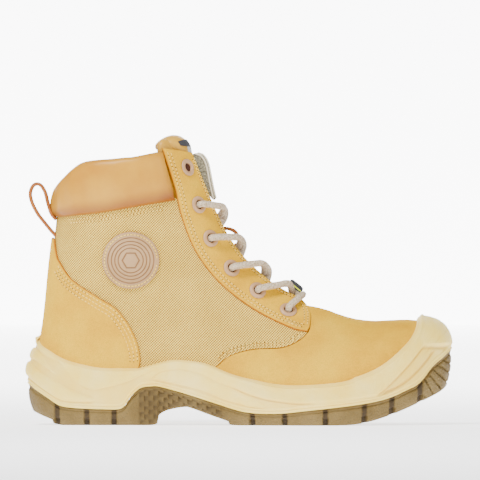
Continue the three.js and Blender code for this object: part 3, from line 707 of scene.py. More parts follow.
def centripetal(points, spacing):
    """A smooth curve through points whose spans differ, with points a spacing apart."""
    points = np.asarray(points, float)
    padded = np.vstack([2 * points[0] - points[1], points, 2 * points[-1] - points[-2]])
    gaps = np.sqrt(np.linalg.norm(np.diff(padded, axis=0), axis=1))[:, None]
    t = np.linspace(0, 1, 24, endpoint=False)[:, None]
    parts = []
    for i in range(len(points) - 1):
        p, q, r, s = padded[i:i + 4]
        before, span, after = gaps[i:i + 3]
        first = ((q - p) / before - (r - p) / (before + span) + (r - q) / span) * span
        second = ((r - q) / span - (s - q) / (span + after) + (s - r) / after) * span
        cubic = 2 * q - 2 * r + first + second
        square = -3 * q + 3 * r - 2 * first - second
        parts.append(q + first * t + square * t**2 + cubic * t**3)
    return spaced(np.vstack([*parts, points[-1:]]), spacing)


def lace_crossing(start, side):
    """Points of the lace from one eyelet across to the next one up on the other side."""
    (u0, v0), (u1, v1) = EYELET_PLACES[start], EYELET_PLACES[start - 1]
    level = 2.2 if side < 0 else -3.2
    rows = [(0.14, 0.72, UNDER, side), (0.3, 0.38, UNDER + 0.3, side), (0.5, 0, level, side),
            (0.72, 0.36, OVER + 0.8, -side), (0.86, 0.66, OVER + 1, -side)]
    return [skin(u0 + (u1 - u0) * t, -which * (v0 + (v1 - v0) * t) * share, height)
            for t, share, height, which in rows]


def lace_half(side):
    lowest = len(EYELETS) - 1
    u, v = EYELET_PLACES[lowest]
    points = [skin(u - 0.38, -side * v * 0.3, 3.4), skin(u - 0.2, -side * v * 0.66, OVER)]
    points += [hole_point(lowest, side, h) for h in THROUGH_HOLE]
    for i in range(lowest, TOP_USED_EYELET, -1):
        points += lace_crossing(i, side)
        side = -side
        points += [hole_point(i - 1, side, h) for h in THROUGH_HOLE]
    return points


def braid(path, radius=LACE_RADIUS, count=18, pitch=2.6):
    """A braided cord: strands that cross over each other stand out by turns."""
    along = run_of(path)[:, None] / pitch
    turns = np.linspace(0, 1, count, endpoint=False)[None] * 3
    strands = np.sin(np.pi * (along + turns)) ** 2 - np.sin(np.pi * (along - turns)) ** 2
    return tube(path, radius, count, 0.92 + 0.08 * np.abs(strands) ** 0.7)


def lathe(profile, count=40):
    """Points and faces of a closed profile of (radius, height) turned about the Z axis."""
    turns = np.linspace(0, 2 * np.pi, count, endpoint=False)
    points = [[r * math.cos(a), r * math.sin(a), h] for a in turns for r, h in profile]
    return np.array(points), wrapped_faces(count, len(profile), len(profile))


EYELET_PROFILE = [[3.1, -0.2], [3.1, 2.5], [3.25, 3.0], [3.65, 3.35], [4.3, 3.5],
                  [5.1, 3.4], [5.8, 3.05], [6.25, 2.6], [6.3, 2.3], [5.8, 2.05],
                  [3.7, 2.05], [3.6, -0.2]]
# A thin disc that closes an eyelet's hole: painted shadow standing for the shade deep in the hole.
SHADOW_DISC_PROFILE = [[0.02, 1.4], [3.08, 1.4], [3.08, 1.8], [0.02, 1.8]]
TIP_PROFILE = [[0, 54], [1.5, 54.0], [1.8, 54.3], [2.0, 60], [2.05, 76], [0, 76.0]]


def at_eyelet(shape, i, side):
    """Moves a shape from the origin to an eyelet, +Z along the surface's normal."""
    points, faces = shape
    u, v = EYELET_PLACES[i]
    centre, normal = skin(u, -side * v), skin_normal(np.array(u), np.array(-side * v))
    first = np.cross(normal, [0, 1, 0.1])
    first /= np.linalg.norm(first)
    second = np.cross(normal, first)
    x, y, z = points.T[:, :, None]
    return centre + x * first + y * second + z * normal, faces


def build_eyelets(name, side):
    shadow_discs = []
    for i in range(len(EYELETS)):
        ring = at_eyelet(lathe(EYELET_PROFILE), i, side)
        finish_piece(solid(f"ring_{name}_{i + 1}", ring, 45), "root", "enamel", ENAMEL,
                     f"eyelet_{name}_{i + 1}")
        # Painted shadow: a dark disc under each eyelet's hole, where only shade would be.
        shadow_discs.append(at_eyelet(lathe(SHADOW_DISC_PROFILE, 24), i, side))
    shadow_disc = solid(f"painted_shadow_disc_{name}", joined(shadow_discs), 45)
    finish_piece(shadow_disc, "root", "felt", PAINTED_SHADE_DARK)


def build_tail(name, side):
    """The lace's hanging end and its tip."""
    line = centripetal(tail_path(side), 0.8)
    tail = solid(f"lace_tail_{name}", braid(line))
    finish_piece(tail, "root", "lace_braid", LACE, f"lace_end_{name}")
    points, faces = lathe(TIP_PROFILE, 20)
    tip = solid(f"lace_tip_{name}", (points + [TAIL_X, side * TAIL_Y, 0], faces), 50)
    finish_piece(tip, "root", "enamel", ENAMEL, f"aglet_{name}")


for side_name, side_sign in SIDES.items():
    build_eyelets(side_name, side_sign)
    build_tail(side_name, side_sign)
held_line = centripetal([*lace_half(-1)[::-1], *lace_half(1)], 0.7)
finish_piece(solid("lace_held", braid(held_line)), "root", "lace_braid", LACE, "lace")


# ------------------------------------------------------------------ sole unit, fine
SOLE_EDGE = height_of([
    [-152, 29.6], [-149, 28], [-144.9, 24.8], [-136.9, 19.3], [-129.8, 14.6], [-124, 12.8],
    [-111.9, 11.8], [-96.9, 11.3], [-86.9, 11.3], [-82.6, 13.2], [-78.8, 18.8],
    [-73.7, 24.3], [-69.8, 26.8], [-63.7, 27.6], [-56.9, 27.3], [-36.9, 21.8], [-17, 15.4],
    [3.7, 9.4], [25.9, 8.3], [47.7, 10.4], [75.9, 13.6], [95.9, 16.8], [108, 20.3],
    [118.7, 25.1], [127.3, 29.9], [136.2, 41.1], [143.7, 47.5], [151.5, 54.5],
])
TREAD_LINE = height_of([
    [-152, 13], [-146.9, 9.6], [-140.9, 6.8], [-133.3, 3.7], [-126, 0], [-64.8, 0],
    [-59.8, 4.6], [-55.9, 8.6], [-49.8, 11.2], [-39.3, 13], [-33.4, 11.8], [-20.5, 7.1],
    [-8.4, 2.9], [-1, 0], [62, 0], [86, 1.5], [107, 7.5], [127, 16], [141.6, 23.2],
    [147.5, 27.9], [150.5, 33],
])
# x, y outside, y inside at the rubber's edge; x, z of the foam's rim on the upper
RIBS = np.array([
    [-150.6, 0, 0, -143.6, 62.5], [-148.4, -13, 13, -142, 60.3],
    [-141, -25, 24.5, -137, 54.2], [-127, -33, 32, -127, 47.9],
    [-108, -36.5, 35.5, -110, 42.4], [-90, -36.5, 35, -90, 40.1],
    [-82, -36.3, 34.4, -82, 39.9], [-76, -37.3, 35, -76, 39.8],
    [-70, -38.2, 35.6, -70.7, 39.9], [-58, -38.8, 35.4, -57, 43.8],
    [-40, -40.5, 35, -42, 45.6], [-17, -44, 36.5, -17, 40.3], [8, -49.5, 39.5, 5, 32.8],
    [34, -54.8, 46, 31, 28], [60, -57, 51, 56, 28.4], [84, -55, 51.5, 80.5, 32.8],
    [105, -47.5, 47, 100, 41.4], [124, -39.8, 41.6, 114, 52.6],
    [138, -28.5, 33, 122.3, 61.6], [146.8, -15.5, 21, 126, 69.5],
    [150.6, 3, 3, 127, 75.7],
])
RIM = 2.6


def around_table():
    """Closed table of the sole's edge: heel, outer side, toe, inner side. Each row is
    x, y at the rubber's edge, then u and v of the foam's rim."""
    rim = locate(RIBS[:, 3:5])
    rim[0, 1], rim[-1, 1] = np.pi, 0
    outer = np.column_stack([RIBS[:, 0], RIBS[:, 1], rim])
    inner = np.column_stack([RIBS[:, 0], RIBS[:, 2], rim[:, 0], -rim[:, 1]])
    rows = np.vstack([outer, inner[-2:0:-1]])
    turn = np.array([0, 0, 0, 2 * np.pi])
    return np.vstack([rows[-3:] + turn, rows, rows[:4] - turn])


def around(steps):
    """The edge table in fine steps of near equal length."""
    table = around_table()
    count = len(table) - 7
    k = np.linspace(3, 3 + count, count * 40 + 1)
    dense = through(table, k)
    along = run_of(dense[:, :2]) + 0.25 * np.arange(len(dense))
    at = np.linspace(0, along[-1], steps, endpoint=False)
    return sampled(at, along, dense)


def wall_frame(rows):
    """Bezier handles of the foam wall at each row, and the outward direction at its rim."""
    bottom = np.column_stack([rows[:, 0], rows[:, 1], SOLE_EDGE(rows[:, 0])])
    top = on_skin(rows[:, 2:], RIM)
    outward = skin_normal(rows[:, 2], rows[:, 3])
    away = bottom - top
    length = np.linalg.norm(away, axis=1, keepdims=True)
    away = away - outward * np.sum(away * outward, 1, keepdims=True)
    away /= np.linalg.norm(away, axis=1, keepdims=True)
    lower = bottom + 0.42 * length * [0, 0, 1] + outward * 3.2
    upper = top + away * 0.42 * length + outward * 2
    return bottom, lower, upper, top, outward


def bezier(a, b, c, d, t):
    t = t[None, :, None]
    a, b, c, d = (p[:, None, :] for p in (a, b, c, d))
    return a * (1 - t) ** 3 + 3 * b * t * (1 - t) ** 2 + 3 * c * t**2 * (1 - t) + d * t**3


def grid_normals(points):
    """Outward normals of an open grid that closes along its first axis."""
    ahead = np.roll(points, -1, 0) - np.roll(points, 1, 0)
    up = np.gradient(points, axis=1)
    normal = np.cross(ahead, up)
    return normal / (np.linalg.norm(normal, axis=2, keepdims=True) + 1e-12)


def curve_gap(x, z, rows):
    """How far side-view places are above a curve, measured square to it."""
    dense = smooth(rows, 12)
    dense = dense[np.argsort(dense[:, 0])]
    slope = np.gradient(dense[:, 1], dense[:, 0] + np.arange(len(dense)) * 1e-9)
    level = np.interp(x, dense[:, 0], dense[:, 1])
    cosine = 1 / np.sqrt(1 + np.interp(x, dense[:, 0], slope) ** 2)
    return (z - level) * cosine


def groove(gap, width):
    """A rounded groove about gap = 0, from 0 to 1."""
    return np.clip(1 - (gap / width) ** 2, 0, 1) ** 1.5


def fades(x, start, end, soft):
    return step(x - start, soft) * step(end - x, soft)


HEEL_LOBES = [
    ([[-152, 60], [-143, 52], [-137, 44.5], [-130, 34.8]],
     [[-152, 48.6], [-144, 44.6], [-138, 40.6], [-130, 34.8]], -131),
    ([[-152, 47.4], [-142, 37.9], [-128.8, 30.4], [-117, 24], [-103, 18.9]],
     [[-152, 35.4], [-137, 23.4], [-127, 17.9], [-117, 16.6], [-103, 17.2]], -104.5),
]
HEEL_LEAF = [[-152, 62], [-138, 53], [-130, 46], [-122, 36], [-112, 28], [-104.8, 25.8],
             [-97, 26.8], [-82, 30.8], [-71.7, 35.3], [-60, 40.5]]
ARCH_TOP = [[-63, 33.2], [-56.7, 37.3], [-46.7, 39.1], [-36.7, 38.6], [-26.7, 35.8],
            [-16.7, 30.8], [-6.6, 26.8], [0.2, 23.8], [10.9, 18.2], [20, 12.8]]
ARCH_LOW = [[-63, 33.2], [-46.7, 29.8], [-26.7, 24.8], [-11.7, 18.8], [0.2, 15.4],
            [8.7, 12.9], [20, 12.4]]
BALL_GROOVE = [[-10, 29.4], [3.7, 23.4], [14.9, 19.6], [25.9, 17.4], [42.3, 15.7],
               [58.7, 16.1], [75.2, 17.9], [91.4, 20.6], [98, 22.3], [107.8, 31],
               [119.9, 43.6], [130, 56]]
TOE_GROOVE = [[58, 16.2], [80, 17.6], [100, 22.6], [112, 27.4], [122, 34.5], [132, 45],
              [140, 56]]


def region(x, z, upper, lower, soft):
    """Roundness (0 to 1) of the part between two side-view curves."""
    room = np.minimum(-curve_gap(x, z, upper), curve_gap(x, z, lower))
    t = np.clip(room / soft, 0, 1)
    return np.sqrt(1 - (1 - t) ** 2)


def foam_relief(x, z, from_top, from_edge):
    """Outward relief of the foam wall in mm, and where it is stippled."""
    relief = np.zeros_like(x)
    coarse = np.zeros_like(x)
    edge_clear = step(from_edge - 5.0, 1.2)
    top_clear = step(from_top - 1.6, 1.2)
    for upper, lower, tip in HEEL_LOBES:
        inside_lobe = region(x, z, upper, lower, 3.4) * step(tip - x, 4) * edge_clear
        relief += 2.1 * inside_lobe
        coarse = np.maximum(coarse, step(inside_lobe - 0.6, 0.3))
    leaf = step(curve_gap(x, z, HEEL_LEAF), 1.2) * step(-58 - x, 6) * top_clear
    bulge = np.clip(curve_gap(x, z, HEEL_LEAF) / 9, 0, 1)
    relief += leaf * (1.0 + 0.8 * np.sin(np.pi * bulge * 0.8)) * step(x + 149, 8)
    coarse = np.maximum(coarse, leaf * step(x + 140, 10))
    arch = fades(x, -62.5, 17.5, 3)
    lozenge = region(x, z, ARCH_TOP, ARCH_LOW, 2.6) * arch * edge_clear
    relief += 1.3 * lozenge
    coarse = np.maximum(coarse, step(lozenge - 0.7, 0.3))
    band_low = curve_gap(x, z, ARCH_TOP)
    band = step(band_low - 0.4, 1.2) * fades(x, -66, 8, 12)
    relief += 1.1 * band * np.sin(np.pi * np.clip(from_top / 9.0, 0.12, 0.88))
    ball = curve_gap(x, z, BALL_GROOVE)
    front = step(x + 6, 14)
    relief += 1.5 * step(ball, 2.0) * front * top_clear
    relief -= 0.9 * groove(ball, 1.5) * front * edge_clear
    coarse = np.maximum(coarse, step(ball - 1.2, 1.0) * front * step(from_top - 2.6, 1.0))
    toe = curve_gap(x, z, TOE_GROOVE)
    relief -= 1.0 * groove(toe, 1.3) * step(x - 62, 10) * step(-ball - 2.0, 1.5)
    fan = np.degrees(np.arctan2(z - 30, x - 112))
    rays = groove(np.mod(fan - 44, 6.5) - 3.25, 0.5) * fades(fan, 44, 66, 1.5)
    relief -= 0.45 * rays * fades(x, 131, 150, 4)
    relief *= step(from_edge - 3.9, 1.4) * step(from_top - 0.8, 1.4)
    relief += 0.9 * groove(from_top - 2.2, 2.2)
    relief += 1.1 * groove(from_edge - 1.1, 1.15) + 0.8 * groove(from_edge - 3.3, 1.05)
    coarse *= step(from_edge - 5.2, 0.8)
    return relief, coarse


def lengths_down(grid):
    """Distance of each grid point from its column's first and last point."""
    steps = np.linalg.norm(np.diff(grid, axis=1), axis=2)
    start = np.concatenate([np.zeros((len(grid), 1)), np.cumsum(steps, 1)], 1)
    return start, start[:, -1:] - start


def build_midsole():
    rows = around(900)
    bottom, lower, upper, top, outward = wall_frame(rows)
    t = np.linspace(0, 1, 54) ** 1.1
    wall = bezier(bottom, lower, upper, top, t)
    normals = grid_normals(wall)
    normals *= np.sign(np.sum(normals * outward[:, None], 2, keepdims=True))
    from_edge, from_top = lengths_down(wall)
    relief, coarse = foam_relief(wall[..., 0], wall[..., 2], from_top, from_edge)
    outer = wall + normals * relief[..., None]
    rim_up = outer[:, -1] - outer[:, -3]
    rim_up /= np.linalg.norm(rim_up, axis=1, keepdims=True)
    turns = np.linspace(0, np.pi, 7)[1:]
    half = 1.35
    lip = (outer[:, -1:] - outward[:, None] * half * (1 - np.cos(turns))[None, :, None]
           + rim_up[:, None] * half * np.sin(turns)[None, :, None])
    back = outer[:, ::-6][:, 1:] - outward[:, None] * 2.7
    sunk = back[:, -1:] - outward[:, None] * 2.0
    profile = np.concatenate([outer, lip, back, sunk], 1)
    rings, count = profile.shape[:2]
    piece = solid("midsole_foam", (profile.reshape(-1, 3), wrapped_faces(rings, count, count)))
    # Painted shade: the foam darkens where its relief sinks into the wall, where shade falls.
    painted_shade = 0.45 * np.clip(0.35 - relief, 0, 1) * step(from_edge - 4, 1)
    for name, values in (("coarse", coarse), ("painted_shade", painted_shade)):
        set_mark(piece, name, np.pad(values, ((0, 0), (0, count - values.shape[1]))))
    return finish_piece(piece, "root", "midsole_foam", FOAM, "midsole")


LUG_GAPS = [-130.3, -109, -89.5, 8.6, 31.6, 60.6, 88.4, 108, 128.3]
LUG_WIDTH = 3.7
LUG_REACH, LUG_DEPTH = 13.0, 4.6
TOE_BEND = 112
CROSS_GROOVES = [-98, -76, 20, 44, 76]


def lug_gap(x):
    found = np.zeros_like(x)
    for centre in LUG_GAPS:
        found = np.maximum(found, step(LUG_WIDTH / 2 - np.abs(x - centre), 1.1))
    return found


def build_outsole():
    rows = around(900)
    x = rows[:, 0]
    ahead = np.roll(rows[:, :2], -1, 0) - np.roll(rows[:, :2], 1, 0)
    plan = np.stack([-ahead[:, 1], ahead[:, 0]], 1)
    plan /= np.linalg.norm(plan, axis=1, keepdims=True)
    middle_x = np.clip(x, -TOE_BEND, TOE_BEND)
    middle_y = (np.interp(middle_x, RIBS[:, 0], RIBS[:, 1])
                + np.interp(middle_x, RIBS[:, 0], RIBS[:, 2])) / 2
    centre = np.stack([middle_x, middle_y], 1)
    plan *= np.sign(np.sum(plan * (rows[:, :2] - centre), 1, keepdims=True))
    top_z = SOLE_EDGE(x) - 0.3
    t = np.linspace(0, 1, 24)
    out = 0.9 * np.sin(np.pi * t) - 2.9 * t**1.6
    side_xy = rows[:, None, :2] + plan[:, None] * out[None, :, None]
    low_z = TREAD_LINE(side_xy[:, -1, 0])
    side_z = top_z[:, None] + (low_z - top_z)[:, None] * t
    from_low = side_z - low_z[:, None]
    from_lip = top_z[:, None] - side_z
    xs = side_xy[..., 0]
    gap = lug_gap(xs)
    low_part = step(5.0 - from_low, 1.6)
    relief = -gap * (0.9 + 2.9 * low_part) * step(from_lip - 1.2, 1.0)
    arch = fades(xs, -72, -13, 3) * step(from_lip - 1.8, 1.0) * step(from_low - 1.0, 1.0)
    tier = from_lip / 3.3
    row = np.floor(tier)
    slide = np.mod((xs + 3.4 * np.mod(row, 2)) / 6.8, 1)
    relief += arch * (1.3 * slide - 1.0 + 0.5 * np.mod(tier, 1))
    fan = np.degrees(np.arctan2(side_z - 58, xs - 116))
    fan_on = step(xs - 131, 2) * step(from_lip - 1.8, 1) * (gap < 0.3)
    relief -= 1.5 * groove(np.mod(fan + 90, 9.0) - 4.5, 1.1) * fan_on
    relief -= 0.8 * groove(from_lip - 1.9, 0.9) * (1 - arch)
    side_xy = side_xy + plan[:, None] * relief[..., None]
    side = np.concatenate([side_xy, side_z[..., None]], 2)
    share = np.concatenate([np.linspace(0, 0.45, 20)[1:], np.linspace(0.45, 0.985, 16)[1:]])
    foot = side_xy[:, -1]
    floor_xy = foot[:, None] + (centre - foot)[:, None] * share[None, :, None]
    floor_z = TREAD_LINE(floor_xy[..., 0])
    inward = np.linalg.norm(floor_xy - foot[:, None], axis=2)
    gap_depth = LUG_DEPTH * lug_gap(floor_xy[..., 0]) * step(LUG_REACH - inward, 2.0)
    cross = np.zeros_like(floor_z)
    for at in CROSS_GROOVES:
        bend = at + 0.012 * (floor_xy[..., 1] - 2) ** 2
        cross = np.maximum(cross, step(2.0 - np.abs(floor_xy[..., 0] - bend), 1.1))
    cross *= step(inward - 9, 2) * step(inward, 1)
    floor_z = floor_z + np.maximum(gap_depth, 3.4 * cross)
    floor = np.concatenate([floor_xy, floor_z[..., None]], 2)
    lid_xy = rows[:, None, :2] - plan[:, None] * np.array([1.5, 6.0])[None, :, None]
    lid = np.concatenate([lid_xy, np.repeat((top_z - 0.2)[:, None, None], 2, 1)], 2)
    grid = np.concatenate([lid[:, ::-1], side, floor], 1)
    rings, count = grid.shape[:2]
    faces = wrapped_faces(rings, count, count - 1)
    for column in (0, count - 1):
        for i in range(rings // 2):
            quad = [i, i + 1, (rings - i - 1) % rings, (rings - i) % rings]
            distinct = list(dict.fromkeys(quad))
            if len(distinct) > 2:
                faces.append([k * count + column for k in distinct])
    piece = solid("outsole_tread", (grid.reshape(-1, 3), faces), 50)
    coarse = np.ones((rings, count))
    coarse[:, 2:2 + len(t)] = ((1 - gap) * step(from_lip - 2.6, 1) * step(from_low - 1.4, 1)
                               * (1 - 0.8 * arch))
    # Painted shade in the lug gaps, on the arch's sunk steps and in the grooves underneath.
    painted_shade = np.zeros((rings, count))
    painted_shade[:, 2:2 + len(t)] = np.maximum(gap, arch * (0.75 - 0.5 * slide))
    painted_shade[:, 2 + len(t):] = 0.8 * np.maximum(gap_depth / LUG_DEPTH, cross)
    set_mark(piece, "coarse", coarse)
    set_mark(piece, "painted_shade", painted_shade)
    return finish_piece(piece, "root", "outsole_rubber", RUBBER, "outsole")


build_midsole()
build_outsole()


# ------------------------------------------------------------------ sewn panels
CANVAS_BORDER = [[-17.7, 40.8], [-7, 49.6], [9.5, 54.2], [30, 55.4], [42.2, 60.7],
                 [48.4, 66.5]]
FACING_REAR = [[-56, 197.1], [-46.5, 167.4], [-41.9, 148.4], [-31.9, 123.7], [-14.6, 101],
               [10, 81.9], [35.4, 69.1], [48.2, 66]]
FACING_FRONT = [[49.6, 69.2], [50.3, 73], [50.2, 78], [48.2, 83.4], [44.8, 87.4],
                [40.4, 90.4]]
COUNTER_EDGE = [[-129.1, 118], [-119.3, 103.7], [-100.6, 91], [-86.8, 81.9],
                [-75.7, 65.8], [-70.7, 48.8], [-72.5, 36]]
COLLAR_SEAM = [[-124, 148.1], [-112, 149.2], [-99.5, 150.4], [-74.9, 154.6],
               [-45.6, 159.6]]
COLLAR_TOP = [[-124, 176.6], [-112.2, 186.8], [-87.2, 189.8], [-74.9, 191], [-55.4, 195]]
BACK = np.pi
COVER = (0.15, 1.95)    # heights of the underside and the face of the leather on top
FACING_GAP_TOP, FACING_GAP_TOE = 13.0, 8.0


def ridge_places(u, half):
    """v on the outer side where the surface is half a gap away from the middle plane."""
    turns = np.linspace(0, 1.3, 160)
    found = []
    for row, gap in zip(np.atleast_1d(u), np.atleast_1d(half)):
        y = -skin_base(np.full(160, row), turns)[:, 1]
        found.append(np.interp(gap, y, turns))
    return np.array(found)


def on_both_sides(build):
    build("lateral", lambda places: places)
    build("medial", mirror_front)


def around_hole(i, radius):
    """(u, v) outline of a round hole through the upper at an eyelet."""
    u, v = EYELET_PLACES[i]
    small = 0.02
    along_u = (skin_base(u + small, v) - skin_base(u - small, v)) / (2 * small)
    along_v = (skin_base(u, v + small) - skin_base(u, v - small)) / (2 * small)
    first = along_u / np.linalg.norm(along_u)
    normal = np.cross(along_u, along_v)
    second = np.cross(normal / np.linalg.norm(normal), first)
    turns = np.linspace(0, 2 * np.pi, 24, endpoint=False)
    ring = radius * (np.cos(turns)[:, None] * first + np.sin(turns)[:, None] * second)
    base = np.stack([along_u, along_v], 1)
    return np.array([np.linalg.lstsq(base, p, rcond=None)[0] for p in ring]) + [u, v]


def soft_lumps(points, size, height, seed=0.0):
    """Gentle lumps of hand-made leather and cloth, in mm."""
    x, y, z = points.T / size
    return height * (np.sin(1.3 * x + 0.7 * z + seed) * np.cos(1.1 * z - 0.6 * y + seed * 2)
                     + 0.5 * np.sin(2.7 * x - 1.9 * z + 1.3 * y + seed))


def vamp_lift(base):
    """The vamp's lumps and its crease where the toes bend."""
    crease = curve_gap(base[:, 0], base[:, 2], [[58, 60], [66, 70], [70, 84]])
    fold = 0.5 * groove(crease, 5.0) * step(62 - base[:, 0], 30)
    return soft_lumps(base, 17, 0.14) - fold


def build_vamp():
    low_edge = [[-21, 37], [0, 29], [25, 23.5], [50, 22.5], [75, 26], [95, 34], [108, 43],
                [118, 54], [124, 62], [129, 69.5]]
    half = np.vstack([
        [[9.0, 0]], locate([[46.4, 85.5], [48.6, 77], [49.5, 70]]),
        locate(smooth(CANVAS_BORDER, 5))[::-1], locate(smooth(low_edge, 4)), [[14.15, 0]],
    ])
    piece = panel("vamp_leather", whole(half, mirror_front), -1.5, 0.15, roll=0.8,
                  spacing=2.2, lift=vamp_lift)
    return finish_piece(piece, "root", "nubuck", NUBUCK, "vamp")


def canvas_outline():
    front = [[46, 70], [32, 78], [12, 91], [-8, 109], [-22, 131], [-31, 152], [-36, 161.2]]
    low_edge = [[-90, 36], [-70, 35], [-50, 39], [-35, 38.5], [-21, 36]]
    return np.vstack([
        locate(COLLAR_SEAM)[::-1] + [[-0.12, 0]], [[2.0, BACK - 0.006]],
        [[3.4, BACK - 0.006]],
        locate([[-120, 95], [-104, 80], [-92, 60], [-90, 40]]), locate(smooth(low_edge, 4)),
        locate(smooth(CANVAS_BORDER, 5)), locate(smooth(front, 4)),
    ])


def build_canvas(side, turned):
    piece = panel(f"canvas_{side}", turned(canvas_outline()), -1.5, -0.15, roll=0.5,
                  spacing=2.4, lift=lambda base: soft_lumps(base, 23, 0.22))
    return finish_piece(piece, "root", "canvas", CANVAS, f"quarter_canvas_{side}")


def facing_front():
    """(u, v) of a facing's front edge, from its rounded lower end up beside the tongue."""
    front_u = np.linspace(7.2, 0.75, 40)
    x = through(STATIONS[:, :2], front_u)[:, 0]
    half = np.interp(x, [-45, 56], [FACING_GAP_TOP, FACING_GAP_TOE])
    gap_edge = np.stack([front_u, ridge_places(front_u, half)], 1)
    return np.vstack([locate(FACING_FRONT), gap_edge])


def build_facing(side, turned):
    holes = [turned(around_hole(i, 3.5)) for i in range(len(EYELETS))]
    outline = np.vstack([locate(smooth(FACING_REAR, 6)), facing_front()])
    piece = panel(f"facing_leather_{side}", turned(outline), *COVER, roll=1.0, spacing=2.0,
                  holes=holes, lift=lambda base: soft_lumps(base, 15, 0.12, 1.0))
    return finish_piece(piece, "root", "nubuck", NUBUCK, f"facing_{side}")


def build_counter():
    edge = locate(smooth(COUNTER_EDGE, 5))
    half = np.vstack([[[2.72, BACK]], [[2.78, BACK - 0.22]], edge,
                      locate([[-92, 35.5], [-112, 37.5], [-128, 43]]), [[6.1, BACK]]])
    piece = panel("counter_leather", whole(half, mirror_back), *COVER, roll=1.0, spacing=2.2,
                  lift=lambda base: soft_lumps(base, 19, 0.2, 2.0))
    return finish_piece(piece, "root", "nubuck", NUBUCK, "heel_counter_cover")


build_vamp()
on_both_sides(build_canvas)
on_both_sides(build_facing)
build_counter()


# ------------------------------------------------------------------ stitching
def seam_curve(places, shift, height):
    """3-D points along a seam in (u, v), moved across the surface by shift mm."""
    points = on_skin(places, height)
    normals = skin_normal(places[:, 0], places[:, 1])
    ahead = np.gradient(points, axis=0)
    across = np.cross(normals, ahead)
    across /= np.linalg.norm(across, axis=1, keepdims=True) + 1e-9
    return points + across * shift, normals


THREAD_RADIUS = 0.36
needle_hole_shades = []


def stitch_row(places, shift, height, start=0.0, pitch=2.8, length=1.9):
    """Threads of one row of stitches: short arcs that dive into the leather at their ends."""
    dense = places if len(places) > 60 else smooth(places, 4)
    points, normals = seam_curve(dense, shift, height)
    along = run_of(points)
    parts = []
    for at in np.arange(start + 1.5, along[-1] - length - 1.0, pitch):
        centre = sampled(at + np.array([0, 0.2, 0.5, 0.8, 1.0]) * length, along, points)
        normal = sampled(at, along, normals)
        arc = np.array([-0.5, 0.12, 0.3, 0.12, -0.5])[:, None]
        parts.append(tube(centre + normal * arc, THREAD_RADIUS, 6))
        # Painted shade: a dark plug in the needle hole stands for the shade inside it.
        hole = sampled(at + (length + pitch) / 2, along, points)
        needle_hole_shades.append(tube(hole + normal * np.array([[-0.5], [0.05]]), 0.4, 6))
    return parts


def zigzag(places, shift, height, width=2.2, pitch=1.5, most=11.0):
    """A bar of zigzag thread."""
    points, normals = seam_curve(places, shift, height)
    along = run_of(points)
    at = np.arange(0, min(most, along[-1]), pitch / 2)
    centre = sampled(at, along, points)
    normal = sampled(at, along, normals)
    across = np.cross(normal, np.gradient(centre, axis=0))
    across /= np.linalg.norm(across, axis=1, keepdims=True)
    turn = np.where(np.arange(len(at)) % 2 == 0, 1, -1)[:, None]
    return [tube(centre + across * turn * width / 2 + normal * 0.1, THREAD_RADIUS, 6)]


def threads(name, parts, slot):
    """One piece of all the threads so far, and one of dark plugs that paint the shade in their needle
    holes.
    """
    holes = make(name + "_holes", *joined(needle_hole_shades))
    finish_piece(holes, "root", slot, PAINTED_SHADE_DARK)
    needle_hole_shades.clear()
    finish_piece(make(name, *joined(parts)), "root", slot, THREAD)


def trimmed(places, start, end, count=120):
    """A share of a seam, from start to end of its length."""
    along = run_of(on_skin(places))
    return sampled(np.linspace(start, end, count), along / along[-1], places)


def build_stitches(side, turned):
    turn = 1 if side == "lateral" else -1
    rear = trimmed(locate(smooth(FACING_REAR, 6)), 0.015, 0.985)
    front = trimmed(facing_front(), 0.0, 0.985)
    counter = trimmed(locate(smooth(COUNTER_EDGE, 5)), 0.03, 0.93)
    border = trimmed(locate(smooth(CANVAS_BORDER, 8)), 0.05, 0.99)
    collar = trimmed(locate(smooth(COLLAR_SEAM, 8)), 0.02, 0.9)
    bar = locate(smooth([[33, 73], [38, 70.5], [44, 69]], 12))
    parts = zigzag(turned(bar), turn * 0.4, 2.05)
    for seam, height, pitch, rows in (
            (rear, 2.0, 2.8, ((2.6, 0.0), (5.2, 1.4))),
            (front, 2.0, 2.8, ((2.2, 0.0), (4.7, 1.4))),
            (counter, 2.0, 2.8, ((-2.0, 0.0), (-4.6, 1.5), (-7.2, 0.0))),
            (border, -0.05, 2.8, ((2.4, 0.0), (4.6, 1.5))),
            (collar, -0.05, 2.6, ((-2.2, 0.0), (-4.6, 1.5)))):
        for shift, start in rows:
            parts += stitch_row(turned(seam), turn * shift, height, start, pitch)
    threads(f"stitches_{side}", parts, "nubuck")


on_both_sides(build_stitches)


# ------------------------------------------------------------------ padding and lining
def end_round(share, soft):
    """0 at both ends of a 0 to 1 share, rounding up to 1 within a soft part of it."""
    near = np.clip(np.minimum(share, 1 - share) / soft, 0, 1)
    return np.sqrt(1 - (1 - near) ** 2)


def fused(name, parts, voxel, rounds):
    """One smooth closed mesh around several overlapping closed parts."""
    rough = solid(name + "_rough", joined(parts))
    remesh = rough.modifiers.new("remesh", "REMESH")
    remesh.mode = "VOXEL"
    remesh.voxel_size = voxel * MM
    soften = rough.modifiers.new("soften", "SMOOTH")
    soften.iterations = rounds
    graph = bpy.context.evaluated_depsgraph_get()
    mesh = bpy.data.meshes.new_from_object(rough.evaluated_get(graph))
    bpy.data.objects.remove(rough)
    mesh.name = name
    mesh.shade_smooth()
    return linked(name, mesh)


def collar_edges():
    """(u, v) of the collar's seam and top line, from the outer facing round the back to the
    inner facing, at equal shares of their length."""
    edges = []
    for line, back_u in ((COLLAR_SEAM, 2.08), (COLLAR_TOP, 1.2)):
        half = smooth(np.vstack([[[back_u, BACK]], locate(line)])[::-1], 12)
        edges.append(trimmed(np.vstack([half, mirror_back(half)[-2::-1]]), 0, 1, 260))
    return edges


PAD_OUT, PAD_IN = 4.6, 4.4


